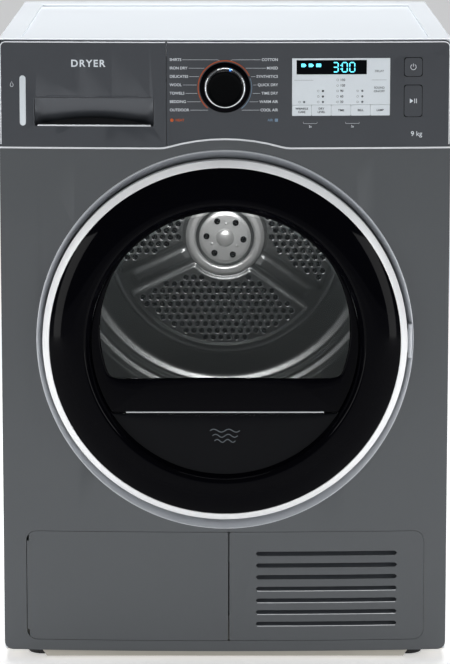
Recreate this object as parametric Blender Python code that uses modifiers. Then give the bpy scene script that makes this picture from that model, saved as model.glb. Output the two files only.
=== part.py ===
"""Front-loading heat-pump clothes dryer, built as an assembly of separate solids.

+X is the right-hand side seen from the front, +Y runs to the rear and +Z is up. The origin
is the middle of the footprint, on the floor. Sizes are in millimetres and MM turns them
into Blender's metres. The whole front is slightly bowed: its crown is at x = 0, and at()
turns a depth behind that crown into a place along Y.
"""
import math

import bmesh
import bpy
import numpy as np
from mathutils import Matrix, Vector

MM = 0.001

# ---- Cabinet ---------------------------------------------------------------------------
WIDTH = 600.0
HEIGHT = 850.0
CABINET_DEPTH = 587.5       # crown of the front to the rear panel
BOW = 11.0                  # how far the front curves back at either side
SHEET = 1.2                 # side and rear sheet steel
SKIN = 2.0                  # front skin
SKIN_DEPTH = 8.7            # how far the front skins turn back at their edges
GAP = 0.3                   # between two pieces that touch
HALF = WIDTH / 2
DOOR_PROUD = 25.0
DUCT_PROUD = 12.5
FRONT_Y = (DOOR_PROUD - CABINET_DEPTH - DUCT_PROUD) / 2
REAR_Y = FRONT_Y + CABINET_DEPTH

PANEL_BOTTOM = 15.0
FASCIA_HEIGHT = 147.0
PANEL_TOP = HEIGHT - FASCIA_HEIGHT
TRIM = 2.2                  # bright strip between front panel and fascia
TOP_SKIRT = 26.0
TOP_SKIN = 2.5
TOP_RECESS = 2.8
TOP_SIDE_BAR = 29.0
TOP_FRONT_BAR = 35.0
TOP_REAR_BAR = 54.5
FASCIA_TOP = HEIGHT - 2.4
CORNER = 9.0
SEAM_X = -77.7              # between drawer and control fascia

# ---- Base and feet ---------------------------------------------------------------------
FOOT_HEIGHT = 12.0
FOOT_RADIUS = 20.0
STUD_RADIUS = 5.0
STUD_TOP = 40.0
FOOT_INSET_X = 50.0
FOOT_INSET_FRONT = 57.5
FOOT_INSET_REAR = 38.0
BASE_BOTTOM = 12.5
BASE_FLOOR = 4.0
BASE_WALL = 3.0
BASE_TOP = 60.0
SKIRT_HALF = 249.0
SKIRT_BOTTOM = 5.0
SIDE_FRONT = 20.0           # depth at which the side panels start
SIDE_LIP = 10.0

# ---- Door and its surround -------------------------------------------------------------
RING_RADIUS = 244.5         # outer edge of the door
GLASS_RADIUS = 180.0
POCKET_RADIUS = RING_RADIUS + 1.5
DISH_RADIUS = POCKET_RADIUS + 10.0
DISH_SLOPE = 2 / 3
DISH_WALL = 2.0
POCKET_DEPTH = 24.0
ARCH_RADIUS = DISH_RADIUS + 15.0
ARCH_FILLET = 40.0
DOOR_Z = PANEL_TOP - DISH_RADIUS - 2.6
COVER_RADIUS = RING_RADIUS - 9.6
CREST_RADIUS = GLASS_RADIUS + 10.0
DOOR_BACK = 18.0            # depth of the rear liner's face
LINER = 2.5
BOWL_RADIUS = GLASS_RADIUS - 15.0
BOWL_DEPTH = 75.0
THROAT_RADIUS = BOWL_RADIUS + 13.0
FLANGE_IN = THROAT_RADIUS + 5.0
HINGE_X = RING_RADIUS + 3.5
HINGE_DEPTH = 2.0
PIN_RADIUS = 1.8
KNUCKLE_RADIUS = 3.0
HOOK_X = 13.5 - RING_RADIUS

# ---- Drum and drive --------------------------------------------------------------------
DRUM_RADIUS = 284.0
DRUM_WALL = 1.2
DRUM_Z = DOOR_Z + 57.6
DRUM_FRONT = 92.0
DRUM_REAR = CABINET_DEPTH - 55.5
DRUM_MOUTH = DRUM_RADIUS - 38.0
DRUM_STEPS = 48
DOOR_STEPS = 48
BACK_PLATE = 3.0
SHAFT_RADIUS = 12.0
RUN_RING = DRUM_MOUTH - 6.0   # fixed ring inside the drum's mouth
RUN_RING_REAR = 105.0
ROLLER_RADIUS = 25.0
ROLLER_ANGLE = 35.0         # from straight down
ROLLER_FRONT = 100.0
ROLLER_WIDTH = 18.0
AXLE_RADIUS = 5.0
BULKHEAD = 70.0
BULKHEAD_PLATE = 3.0
BELT_FRONT = 162.0
BELT_WIDTH = 10.0
BELT_THICK = 3.0
PULLEY_RADIUS = 12.0
MOTOR_X = 172.0
MOTOR_Z = 112.0
MOTOR_RADIUS = 45.0
FAN_RADIUS = 75.0
ROTOR_RADIUS = 5.0
LIFTER_HEIGHT = 42.0
LIFTER_HALF = 30.0

# ---- Drawer, tank and filter -----------------------------------------------------------
TANK_FRONT = 32.5
TANK_REAR = 500.0
TANK_WALL = 2.0
GRIP_LEFT = -HALF + 47.0
GRIP_RIGHT = SEAM_X - 16.8
GRIP_BOTTOM = HEIGHT - 116.6
GRIP_TOP = HEIGHT - 78.0
GRIP_DEPTH = 19.0
FILTER_HALF = 99.0
FILTER_FRONT = 78.0
FILTER_THICK = 10.0
FILTER_BOTTOM = 150.0
FILTER_TOP = DRUM_Z - RUN_RING + 6.0

# ---- Controls --------------------------------------------------------------------------
KNOB_Z = HEIGHT - 64.3
KNOB_RADIUS = 24.0
KNOB_RING = 27.1
KNOB_PROUD = 20.0
DIAL_RADIUS = 33.7
PANEL_LEFT, PANEL_RIGHT = 88.8, 218.8
PANEL_LOW, PANEL_HIGH = HEIGHT - 102.1, HEIGHT - 25.7
KEY_HEIGHT = 14.2
KEY_NAMES = ("wrinkle_key", "dry_level_key", "time_key", "bell_key", "lamp_key")
SCREEN = (95.0, 187.6, HEIGHT - 46.9, HEIGHT - 28.3)
BUTTON_LEFT, BUTTON_RIGHT = 238.0, 261.3
POWER_LOW, POWER_HIGH = HEIGHT - 49.9, HEIGHT - 25.5
START_LOW, START_HIGH = HEIGHT - 103.7, HEIGHT - 62.0

# ---- Flap and grille -------------------------------------------------------------------
FLAP_LEFT, FLAP_RIGHT = -269.0, 4.3
LOWER_RIGHT = 269.6
FLAP_BOTTOM, FLAP_TOP = 30.0, 181.0
FLAP_THICK = 3.0
LOUVRE_COUNT = 7
LOUVRE_PITCH = 16.3
LOUVRE_HEIGHT = 6.0
LOUVRE_LEFT, LOUVRE_RIGHT = 42.0, 233.0
LOUVRE_TOP = 154.0

# ---- Heat pump -------------------------------------------------------------------------
FLOOR_Z = BASE_BOTTOM + BASE_FLOOR + GAP
EXCHANGER_LEFT, EXCHANGER_RIGHT = -260.0, -20.0
EXCHANGER_TOP = 190.0
EVAPORATOR_Y = (-190.0, -80.0)
CONDENSER_Y = (-60.0, 80.0)
COMPRESSOR_AT = (170.0, 190.0)
COMPRESSOR_RADIUS = 60.0
GLAND_AT = (-250.0, 110.0)

# ---- Finishes: colour (0-255), metallic, roughness -------------------------------------
WHITE = ((238, 242, 246), 0.0, 0.35)
SILVER = ((88, 92, 94), 0.3, 0.42)
DARK = ((76, 79, 85), 0.2, 0.4)
BRIGHT = ((205, 208, 212), 1.0, 0.25)
BLACK = ((12, 13, 17), 0.0, 0.08)
SMOKE = ((24, 26, 30), 0.0, 0.05)
STEEL = ((168, 170, 168), 1.0, 0.3)
ZINC = ((150, 154, 158), 1.0, 0.45)
RUBBER = ((34, 34, 36), 0.0, 0.8)
GREY = ((150, 152, 154), 0.0, 0.5)
BEIGE = ((186, 180, 168), 0.0, 0.55)
BLUE = ((70, 100, 130), 0.0, 0.5)
GREEN = ((40, 90, 60), 0.0, 0.6)
COPPER = ((170, 110, 80), 1.0, 0.4)


# ---- Modelling helpers -----------------------------------------------------------------
def clear_scene():
    for obj in list(bpy.data.objects):
        bpy.data.objects.remove(obj, do_unlink=True)
    for group in list(bpy.data.collections):
        bpy.data.collections.remove(group)


def at(depth):
    """The place along Y of a depth behind the crown of the front."""
    return FRONT_Y + depth


def bow_at(x):
    return BOW * (x / HALF) ** 2


def link(name, mesh):
    obj = bpy.data.objects.new(name, mesh)
    bpy.data.collections["clothes_dryer"].objects.link(obj)
    return obj


def clean(obj):
    """Merges doubled points and turns every face outwards."""
    shape = bmesh.new()
    shape.from_mesh(obj.data)
    bmesh.ops.remove_doubles(shape, verts=shape.verts, dist=0.00002)
    bmesh.ops.recalc_face_normals(shape, faces=shape.faces)
    shape.to_mesh(obj.data)
    shape.free()


def apply_modifiers(obj):
    bpy.context.view_layer.update()
    depsgraph = bpy.context.evaluated_depsgraph_get()
    mesh = bpy.data.meshes.new_from_object(obj.evaluated_get(depsgraph))
    old = obj.data
    obj.modifiers.clear()
    obj.data = mesh
    if isinstance(old, bpy.types.Mesh):
        bpy.data.meshes.remove(old)


def combine(target, tools, operation):
    for tool in tools:
        step = target.modifiers.new(operation.title(), "BOOLEAN")
        step.operation = operation
        step.solver = "EXACT"
        step.object = tool
    apply_modifiers(target)
    for tool in tools:
        bpy.data.objects.remove(tool, do_unlink=True)
    clean(target)
    return target


def cut(target, *tools):
    return combine(target, tools, "DIFFERENCE")


def join(target, *tools):
    return combine(target, tools, "UNION")


def box(name, xs, ys, zs):
    shape = bmesh.new()
    size = Vector((xs[1] - xs[0], ys[1] - ys[0], zs[1] - zs[0])) * MM
    middle = Vector((sum(xs), sum(ys), sum(zs))) * MM / 2
    place = Matrix.Translation(middle) @ Matrix.Diagonal((*size, 1))
    bmesh.ops.create_cube(shape, size=1, matrix=place)
    mesh = bpy.data.meshes.new(name)
    shape.to_mesh(mesh)
    shape.free()
    return link(name, mesh)


def prism(name, outline, lo, hi, axis="Y", holes=()):
    """A flat outline given thickness: (x, z) along Y, (y, z) along X or (x, y) along Z."""
    curve = bpy.data.curves.new(name, "CURVE")
    curve.dimensions = "2D"
    curve.fill_mode = "BOTH"
    curve.extrude = (hi - lo) * MM / 2
    for ring in (outline, *holes):
        spline = curve.splines.new("POLY")
        spline.points.add(len(ring) - 1)
        for point, (a, b) in zip(spline.points, ring):
            point.co = (a * MM, b * MM, 0, 1)
        spline.use_cyclic_u = True
    carrier = link(name + "_outline", curve)
    bpy.context.view_layer.update()
    depsgraph = bpy.context.evaluated_depsgraph_get()
    mesh = bpy.data.meshes.new_from_object(carrier.evaluated_get(depsgraph))
    bpy.data.objects.remove(carrier)
    turn = {
        "X": Matrix(((0, 0, 1, 0), (1, 0, 0, 0), (0, 1, 0, 0), (0, 0, 0, 1))),
        "Y": Matrix(((1, 0, 0, 0), (0, 0, -1, 0), (0, 1, 0, 0), (0, 0, 0, 1))),
        "Z": Matrix.Identity(4),
    }[axis]
    middle = (lo + hi) * MM / 2
    shift = {"X": (middle, 0, 0), "Y": (0, middle, 0), "Z": (0, 0, middle)}[axis]
    mesh.transform(Matrix.Translation(shift) @ turn)
    obj = link(name, mesh)
    clean(obj)
    return obj


def turned(name, profile, axis, centre, steps=32):
    """A profile of (radius, place along the axis) turned a full circle about the axis."""
    count = len(profile)
    is_ring = profile[0][0] > 0
    edges = [(i, (i + 1) % count) for i in range(count if is_ring else count - 1)]
    mesh = bpy.data.meshes.new(name)
    mesh.from_pydata([(r * MM, 0, along * MM) for r, along in profile], edges, [])
    obj = link(name, mesh)
    screw = obj.modifiers.new("Turn", "SCREW")
    screw.steps = steps
    screw.render_steps = steps
    screw.use_merge_vertices = True
    screw.merge_threshold = 0.00001
    apply_modifiers(obj)
    turn = {
        "X": Matrix.Rotation(math.pi / 2, 4, "Y"),
        "Y": Matrix.Rotation(-math.pi / 2, 4, "X"),
        "Z": Matrix.Identity(4),
    }[axis]
    first, second = centre
    shift = {"X": (0, first, second), "Y": (first, 0, second), "Z": (first, second, 0)}[axis]
    obj.data.transform(Matrix.Translation(Vector(shift) * MM) @ turn)
    clean(obj)
    return obj


def rod(name, radius, lo, hi, axis, centre, steps=24):
    return turned(name, [(0, lo), (radius, lo), (radius, hi), (0, hi)], axis, centre, steps)


def arc(x, z, radius, start, end, steps):
    angles = np.radians(np.linspace(start, end, steps + 1))
    return [(x + radius * math.cos(a), z + radius * math.sin(a)) for a in angles]


def rounded(left, right, low, high, radii, steps=5):
    """A rectangle whose corners have radii (low left, low right, high right, high left)."""
    low_left, low_right, high_right, high_left = radii
    return (
        arc(left + low_left, low + low_left, low_left, 180, 270, steps)
        + arc(right - low_right, low + low_right, low_right, 270, 360, steps)
        + arc(right - high_right, high - high_right, high_right, 0, 90, steps)
        + arc(left + high_left, high - high_left, high_left, 90, 180, steps)
    )


def grow(points, distance):
    """Moves every side of an outline outwards by a distance."""
    corners = [Vector(point) for point in points]
    area = sum(a.cross(b) for a, b in zip(corners, corners[1:] + corners[:1]))
    side = distance if area > 0 else -distance
    result = []
    for before, corner, after in zip(corners[-1:] + corners[:-1], corners, corners[1:] + corners[:1]):
        first = (corner - before).normalized()
        second = (after - corner).normalized()
        first_normal = Vector((first.y, -first.x))
        second_normal = Vector((second.y, -second.x))
        mitre = (first_normal + second_normal) / (1 + first_normal.dot(second_normal))
        result.append(tuple(corner + mitre * side))
    return result


def bow(obj, stations=12):
    """Curves a flat front piece back towards the cabinet's sides."""
    shape = bmesh.new()
    shape.from_mesh(obj.data)
    for x in np.linspace(-HALF, HALF, stations + 1)[1:-1]:
        bmesh.ops.bisect_plane(
            shape,
            geom=shape.verts[:] + shape.edges[:] + shape.faces[:],
            plane_co=(x * MM, 0, 0),
            plane_no=(1, 0, 0),
            dist=0.0000001,
        )
    bmesh.ops.remove_doubles(shape, verts=shape.verts, dist=0.00002)
    for vert in shape.verts:
        vert.co.y += bow_at(vert.co.x / MM) * MM
    bmesh.ops.recalc_face_normals(shape, faces=shape.faces)
    shape.to_mesh(obj.data)
    shape.free()
    return obj


def finish(obj, look, pivot=None):
    """Gives a piece its own material and, for a moving one, its origin on its joint."""
    (red, green, blue), metallic, roughness = look
    linear = [((c / 255 + 0.055) / 1.055) ** 2.4 if c > 10 else c / 3294 for c in (red, green, blue)]
    material = bpy.data.materials.new(obj.name + "_finish")
    material.use_nodes = True
    shader = material.node_tree.nodes["Principled BSDF"]
    shader.inputs["Base Color"].default_value = (*linear, 1)
    shader.inputs["Metallic"].default_value = metallic
    shader.inputs["Roughness"].default_value = roughness
    obj.data.materials.clear()
    obj.data.materials.append(material)
    obj.data.shade_smooth()
    obj.data.set_sharp_from_angle(angle=math.radians(35))
    if pivot is not None:
        place = Vector(pivot) * MM
        obj.data.transform(Matrix.Translation(-place))
        obj.location = place
    return obj


def arch_reach():
    """Half widths at which the arch's fillet meets the level edge and the arch itself."""
    fillet = ARCH_RADIUS + ARCH_FILLET
    outer = math.sqrt(fillet ** 2 - (PANEL_TOP + ARCH_FILLET - DOOR_Z) ** 2)
    return outer, outer * ARCH_RADIUS / fillet


def arch_at(x):
    """Top edge of the front panel: level, with a low arch concentric with the door."""
    outer, inner = arch_reach()
    if abs(x) >= outer:
        return PANEL_TOP
    if abs(x) > inner:
        return PANEL_TOP + ARCH_FILLET - math.sqrt(ARCH_FILLET ** 2 - (outer - abs(x)) ** 2)
    return DOOR_Z + math.sqrt(ARCH_RADIUS ** 2 - x ** 2)


def arch_line(left, right, rise):
    """Points of the arch from left to right, moved up by a rise."""
    outer, inner = arch_reach()
    stations = [-outer, -(outer + inner) / 2, *np.linspace(-inner, inner, 9), (outer + inner) / 2, outer]
    between = [x for x in stations if left + 1 < x < right - 1]
    return [(x, arch_at(x) + rise) for x in (left, *between, right)]


# ---- Cabinet ---------------------------------------------------------------------------
def foot_places():
    for side, x in (("left", -HALF + FOOT_INSET_X), ("right", HALF - FOOT_INSET_X)):
        yield f"foot_front_{side}", x, at(FOOT_INSET_FRONT)
        yield f"foot_rear_{side}", x, REAR_Y - FOOT_INSET_REAR


def make_base():
    wide = HALF - SHEET - GAP
    front, rear = at(SIDE_FRONT + SHEET + GAP), REAR_Y - SHEET - GAP
    pan = box("base_pan", (-wide, wide), (front, rear), (BASE_BOTTOM, BASE_TOP))
    inside = box(
        "inside",
        (-wide + BASE_WALL, wide - BASE_WALL),
        (front + BASE_WALL, rear - BASE_WALL),
        (BASE_BOTTOM + BASE_FLOOR, BASE_TOP + 10),
    )
    high = PANEL_BOTTOM - GAP
    foot = SKIRT_HALF - 6
    outline = [(-foot, SKIRT_BOTTOM), (foot, SKIRT_BOTTOM), (SKIRT_HALF, high), (-SKIRT_HALF, high)]
    skirt = prism("skirt", outline, at(SKIN_DEPTH + 3.3), front + 1.5)
    cut(pan, inside)
    join(pan, skirt)
    holes = [
        rod("hole", STUD_RADIUS + 0.4, 0, STUD_TOP, "Z", (x, y), 20) for _, x, y in foot_places()
    ]
    cut(pan, *holes)
    finish(pan, BEIGE)


def make_feet():
    for name, x, y in foot_places():
        profile = [
            (0, 0), (FOOT_RADIUS, 0), (FOOT_RADIUS, FOOT_HEIGHT - 3), (FOOT_RADIUS - 5, FOOT_HEIGHT),
            (STUD_RADIUS, FOOT_HEIGHT), (STUD_RADIUS, STUD_TOP), (0, STUD_TOP),
        ]
        finish(turned(name, profile, "Z", (x, y), 20), RUBBER, (x, y, 0))


def make_side(name, side):
    outer, inner = HALF, HALF - SHEET
    low, high = PANEL_BOTTOM - 1, HEIGHT - TOP_SKIRT - GAP
    front, rear = at(SIDE_FRONT), REAR_Y - SHEET - GAP
    outline = [
        (outer, front), (outer, rear), (inner, rear), (inner, front + SHEET),
        (outer - SIDE_LIP, front + SHEET), (outer - SIDE_LIP, front),
    ]
    panel = prism(name, [(side * x, y) for x, y in outline], low, high, "Z")
    finish(panel, WHITE)


def make_rear():
    low, high = PANEL_BOTTOM - 1, HEIGHT - TOP_SKIRT - GAP
    panel = box("rear_panel", (-HALF, HALF), (REAR_Y - SHEET, REAR_Y), (low, high))
    gland_hole = rod("gland_hole", 9.4, REAR_Y - 10, REAR_Y + 10, "Y", GLAND_AT, 24)
    vents = [
        box("vent", (60, 240), (REAR_Y - 10, REAR_Y + 10), (z, z + 5)) for z in range(90, 180, 15)
    ]
    cut(panel, gland_hole, *vents)
    finish(panel, ZINC)

    span, deep = 170.0, REAR_Y + DUCT_PROUD
    outer = rounded(-span, span, DRUM_Z - span, DRUM_Z + span, (60,) * 4, 8)
    cover = prism("rear_duct_cover", outer, REAR_Y + GAP, deep)
    inner = prism("inner", grow(outer, -SKIN), REAR_Y - 5, deep - SKIN)
    finish(cut(cover, inner), ZINC)

    rear = REAR_Y
    profile = [
        (4, rear - 12), (9, rear - 12), (9, rear + GAP), (13, rear + GAP), (13, rear + 4), (8, rear + 12),
        (4, rear + 12),
    ]
    finish(turned("cord_gland", profile, "Y", GLAND_AT, 24), RUBBER)

    bore = SHAFT_RADIUS + GAP
    front = at(DRUM_REAR + 8)
    plate = rear - SHEET - GAP
    profile = [
        (bore, front), (bore + 10, front), (bore + 10, rear - 8), (60, rear - 8), (60, plate), (bore, plate),
    ]
    finish(turned("rear_bearing", profile, "Y", (0, DRUM_Z), 28), ZINC)


def make_top():
    front_line = [(x, at(1.0 + bow_at(x))) for x in np.linspace(-HALF, HALF, 13)]
    plan = [*front_line, (HALF, REAR_Y), (-HALF, REAR_Y)]
    frame = prism("top_frame", plan, HEIGHT - TOP_SKIRT, HEIGHT, "Z")
    wide = HALF - TOP_SKIN
    under = HEIGHT - TOP_SKIRT - 5
    cavity = box("cavity", (-wide, wide), (at(-20), REAR_Y - TOP_SKIN), (under, HEIGHT - TOP_SKIN))
    nose = box("nose", (-HALF - 5, HALF + 5), (at(-20), at(22)), (under, FASCIA_TOP + GAP))
    open_x = HALF - TOP_SIDE_BAR
    open_y = (at(TOP_FRONT_BAR), REAR_Y - TOP_REAR_BAR)
    opening = box("opening", (-open_x, open_x), open_y, (HEIGHT - 60, HEIGHT + 5))
    cut(frame, cavity, nose)
    cut(frame, opening)
    finish(frame, WHITE)
    tongue = 9.0
    high = HEIGHT - TOP_RECESS
    panel = box(
        "top_panel",
        (-open_x - tongue, open_x + tongue),
        (open_y[0] - 3, open_y[1] + tongue),
        (high - 3, high),
    )
    finish(panel, WHITE)


def pocket_profile(offset):
    """Outer side of the door surround, moved outwards by an offset."""
    wall = DISH_WALL + offset
    knee = (DISH_RADIUS - POCKET_RADIUS) / DISH_SLOPE
    lead = 6.0
    return [
        (0, at(-lead)), (DISH_RADIUS + wall + lead * DISH_SLOPE, at(-lead)),
        (POCKET_RADIUS + wall, at(knee)), (POCKET_RADIUS + wall, at(POCKET_DEPTH + 10)),
        (0, at(POCKET_DEPTH + 10)),
    ]


def make_front_panel():
    outline = [
        *arc(-HALF + 11, PANEL_BOTTOM + 11, 11, 180, 270, 5),
        *arc(HALF - 11, PANEL_BOTTOM + 11, 11, 270, 360, 5),
        *reversed(arch_line(-HALF, HALF, 0)),
    ]
    panel = prism("front_panel", outline, at(0), at(SKIN_DEPTH))
    inner_top = PANEL_TOP - 3
    wide = HALF - SKIN
    inner = rounded(-wide, wide, PANEL_BOTTOM + SKIN, inner_top, (9, 9, 1, 1))
    cut(panel, prism("inside", inner, at(SKIN), at(SKIN_DEPTH + 5)))
    reveal = 0.5
    window = rounded(
        FLAP_LEFT - reveal, LOWER_RIGHT + GAP, FLAP_BOTTOM - reveal, FLAP_TOP + reveal, (14, 14, 14, 14)
    )
    cut(panel, prism("window", window, at(-5), at(SKIN_DEPTH + 5)))
    bow(panel)
    cut(panel, turned("hole", pocket_profile(0.4), "Y", (0, DOOR_Z), DOOR_STEPS))
    finish(panel, SILVER)

    trim_line = arch_line(-HALF, HALF, GAP) + arch_line(-HALF, HALF, GAP + TRIM)[::-1]
    trim = prism("lower_trim", trim_line, at(0), at(SKIN_DEPTH))
    finish(bow(trim), BRIGHT)


def make_surround():
    knee = (DISH_RADIUS - POCKET_RADIUS) / DISH_SLOPE
    rim, pocket = DISH_RADIUS + DISH_WALL, POCKET_RADIUS + DISH_WALL
    rear = POCKET_DEPTH + 2.5
    profile = [
        (rim, at(0)), (pocket, at(knee)), (pocket, at(rear)), (FLANGE_IN, at(rear)),
        (FLANGE_IN, at(POCKET_DEPTH)), (POCKET_RADIUS, at(POCKET_DEPTH)), (POCKET_RADIUS, at(knee)),
        (DISH_RADIUS, at(0)),
    ]
    dish = turned("door_surround", profile, "Y", (0, DOOR_Z), DOOR_STEPS)
    front_line = [(x, at(bow_at(x))) for x in np.linspace(-HALF, HALF, 25)]
    plan = [*front_line, (HALF, at(-20)), (-HALF, at(-20))]
    ahead = prism("ahead", plan, DOOR_Z - HALF, DOOR_Z + HALF, "Z")
    notch_z = 24.0
    notch_x = (POCKET_RADIUS - 8, HINGE_X + KNUCKLE_RADIUS)
    notch = box("notch", notch_x, (at(8.8), at(20)), (DOOR_Z - notch_z, DOOR_Z + notch_z))
    slot = box("slot", (HOOK_X - 2, HOOK_X + 5), (at(20), at(30)), (DOOR_Z - 9, DOOR_Z + 9))
    cut(dish, ahead)
    cut(dish, notch, slot)
    finish(dish, STEEL)


def filter_slot(name, margin, low, high):
    return box(
        name,
        (-FILTER_HALF - margin, FILTER_HALF + margin),
        (at(FILTER_FRONT - 1), at(FILTER_FRONT + FILTER_THICK + 1)),
        (low, high),
    )


def roller_place(side):
    reach = DRUM_RADIUS + ROLLER_RADIUS + GAP
    angle = math.radians(ROLLER_ANGLE)
    return side * reach * math.sin(angle), DRUM_Z - reach * math.cos(angle)


def make_bulkhead():
    wide = HALF - SHEET - GAP
    rear = BULKHEAD + BULKHEAD_PLATE
    tall = (FILTER_BOTTOM - 30, PANEL_TOP - 3)
    plate = box("front_bulkhead", (-wide, wide), (at(BULKHEAD), at(rear)), tall)
    disc = rod("disc", RUN_RING + 10, at(BULKHEAD), at(rear), "Y", (0, DRUM_Z), DRUM_STEPS)
    pocket_rear = FILTER_FRONT + FILTER_THICK + 3
    pocket = box(
        "pocket", (-FILTER_HALF - 5, FILTER_HALF + 5), (at(rear - 1), at(pocket_rear)),
        (FILTER_BOTTOM - 4, DRUM_Z - RUN_RING + 28),
    )
    bore = rod("bore", RUN_RING + 1, at(rear), at(pocket_rear + 5), "Y", (0, DRUM_Z), DRUM_STEPS)
    cut(pocket, bore)
    ring_profile = [
        (RUN_RING, at(rear - 1)), (RUN_RING + 3, at(rear - 1)),
        (RUN_RING + 3, at(RUN_RING_REAR)), (RUN_RING, at(RUN_RING_REAR)),
    ]
    ring = turned("ring", ring_profile, "Y", (0, DRUM_Z), DRUM_STEPS)
    join(plate, disc)
    join(plate, pocket)
    join(plate, ring)
    front = POCKET_DEPTH + 2.5 + GAP
    throat_profile = [
        (THROAT_RADIUS - 2, at(front)), (THROAT_RADIUS + 18, at(front)),
        (THROAT_RADIUS + 18, at(front + 2)), (THROAT_RADIUS + 3, at(front + 2)),
        (THROAT_RADIUS + 3, at(rear - 1)), (THROAT_RADIUS - 2, at(rear - 1)),
    ]
    throat = turned("throat", throat_profile, "Y", (0, DOOR_Z), DOOR_STEPS)
    join(plate, throat)
    mouth = rod("mouth", THROAT_RADIUS, at(10), at(rear + 2), "Y", (0, DOOR_Z), DOOR_STEPS)
    cut(plate, mouth)
    cut(plate, filter_slot("slot", 1, FILTER_BOTTOM - 1, DRUM_Z))
    axles = [
        rod("axle", AXLE_RADIUS, at(rear - 1), at(ROLLER_FRONT + ROLLER_WIDTH + 4), "Y", roller_place(side))
        for side in (-1, 1)
    ]
    join(plate, *axles)
    finish(plate, ZINC)


# ---- Door ------------------------------------------------------------------------------
def door_pivot():
    return (HINGE_X, at(HINGE_DEPTH), DOOR_Z)


def make_door():
    centre = (0, DOOR_Z)
    pivot = door_pivot()
    back = DOOR_BACK - GAP
    ring_profile = [
        (RING_RADIUS, -3), (RING_RADIUS, back), (RING_RADIUS - 2.5, back), (RING_RADIUS - 2.5, -1.6),
        (COVER_RADIUS + 0.3, -7.4), (COVER_RADIUS + 0.3, -9.6), (COVER_RADIUS + 1.0, -10),
    ]
    ring = turned("door_ring", [(r, at(d)) for r, d in ring_profile], "Y", centre, DOOR_STEPS)
    notch_x = (COVER_RADIUS - 6, RING_RADIUS + 5)
    notch = box("notch", notch_x, (at(0), at(DOOR_BACK + 1)), (DOOR_Z - 16, DOOR_Z + 16))
    finish(cut(ring, notch), WHITE, pivot)

    rise = [(COVER_RADIUS, -9.2), (227, -14.6), (217, -19), (204, -23), (CREST_RADIUS, -DOOR_PROUD)]
    outer = [*rise, (185, -24), (182, -20), (GLASS_RADIUS, -13.6)]
    tube = [(GLASS_RADIUS, back), (GLASS_RADIUS + 3, back)]
    under = [
        (GLASS_RADIUS + 3, -13), (GLASS_RADIUS + 5, -21), (CREST_RADIUS, -22.4), (CREST_RADIUS + 14, -20.4),
        (CREST_RADIUS + 27, -16.4), (CREST_RADIUS + 37, -12), (COVER_RADIUS - 1.2, -7),
    ]
    cover = turned("door_cover", [(r, at(d)) for r, d in (*outer, *tube, *under)], "Y", centre, DOOR_STEPS)
    finish(cover, BLACK, pivot)

    pane = GLASS_RADIUS - GAP
    profile = [(0, -14.4), (100, -14.2), (pane, -13.3), (pane, -10.3), (0, -10.8)]
    window = turned("door_window", [(r, at(d)) for r, d in profile], "Y", centre, DOOR_STEPS)
    finish(window, SMOKE, pivot)

    profile = [
        (BOWL_RADIUS + 1, DOOR_BACK), (RING_RADIUS, DOOR_BACK),
        (RING_RADIUS, DOOR_BACK + LINER), (BOWL_RADIUS + 1, DOOR_BACK + LINER),
    ]
    liner = turned("door_liner", [(r, at(d)) for r, d in profile], "Y", centre, DOOR_STEPS)
    finish(liner, GREY, pivot)

    deep = BOWL_DEPTH
    profile = [
        (0, deep), (BOWL_RADIUS - 40, deep), (BOWL_RADIUS - 25, deep - 4), (BOWL_RADIUS - 14, deep - 15),
        (BOWL_RADIUS - 5, deep - 38), (BOWL_RADIUS, back), (pane, back), (pane, back - 3.7),
        (BOWL_RADIUS - 4, back - 3.7), (BOWL_RADIUS - 9, deep - 39), (BOWL_RADIUS - 18, deep - 17),
        (BOWL_RADIUS - 28, deep - 7.5), (BOWL_RADIUS - 42, deep - 4), (0, deep - 4),
    ]
    bowl = turned("door_bowl", [(r, at(d)) for r, d in profile], "Y", centre, DOOR_STEPS)
    finish(bowl, SMOKE, pivot)

    low, high = DOOR_BACK + LINER + GAP, POCKET_DEPTH - GAP
    profile = [(FLANGE_IN + 3, low), (FLANGE_IN + 11, low), (FLANGE_IN + 9, high), (FLANGE_IN + 5, high)]
    seal = turned("door_seal", [(r, at(d)) for r, d in profile], "Y", centre, DOOR_STEPS)
    finish(seal, RUBBER, pivot)

    blade = box("door_hook", (HOOK_X, HOOK_X + 2.5), (at(low), at(40)), (DOOR_Z - 6.5, DOOR_Z + 6.5))
    catch = box("catch", (HOOK_X - 5, HOOK_X + 8), (at(30), at(35)), (DOOR_Z - 3.5, DOOR_Z + 3.5))
    finish(cut(blade, catch), STEEL, pivot)

    reach = 14.7
    leg_x = COVER_RADIUS + 1.6
    outline = [
        (leg_x, at(HINGE_DEPTH - 1.2)), (HINGE_X, at(HINGE_DEPTH - 1.2)), (HINGE_X, at(HINGE_DEPTH + 2)),
        (leg_x + 4, at(HINGE_DEPTH + 2)), (leg_x + 4, at(back)), (leg_x, at(back)),
    ]
    arm = prism("hinge_arm", outline, DOOR_Z - reach, DOOR_Z + reach, "Z")
    axis_at = (HINGE_X, at(HINGE_DEPTH))
    join(arm, rod("knuckle", KNUCKLE_RADIUS, DOOR_Z - reach, DOOR_Z + reach, "Z", axis_at, 20))
    cut(arm, rod("bore", PIN_RADIUS + GAP, DOOR_Z - 30, DOOR_Z + 30, "Z", axis_at, 20))
    finish(arm, STEEL, pivot)


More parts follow.
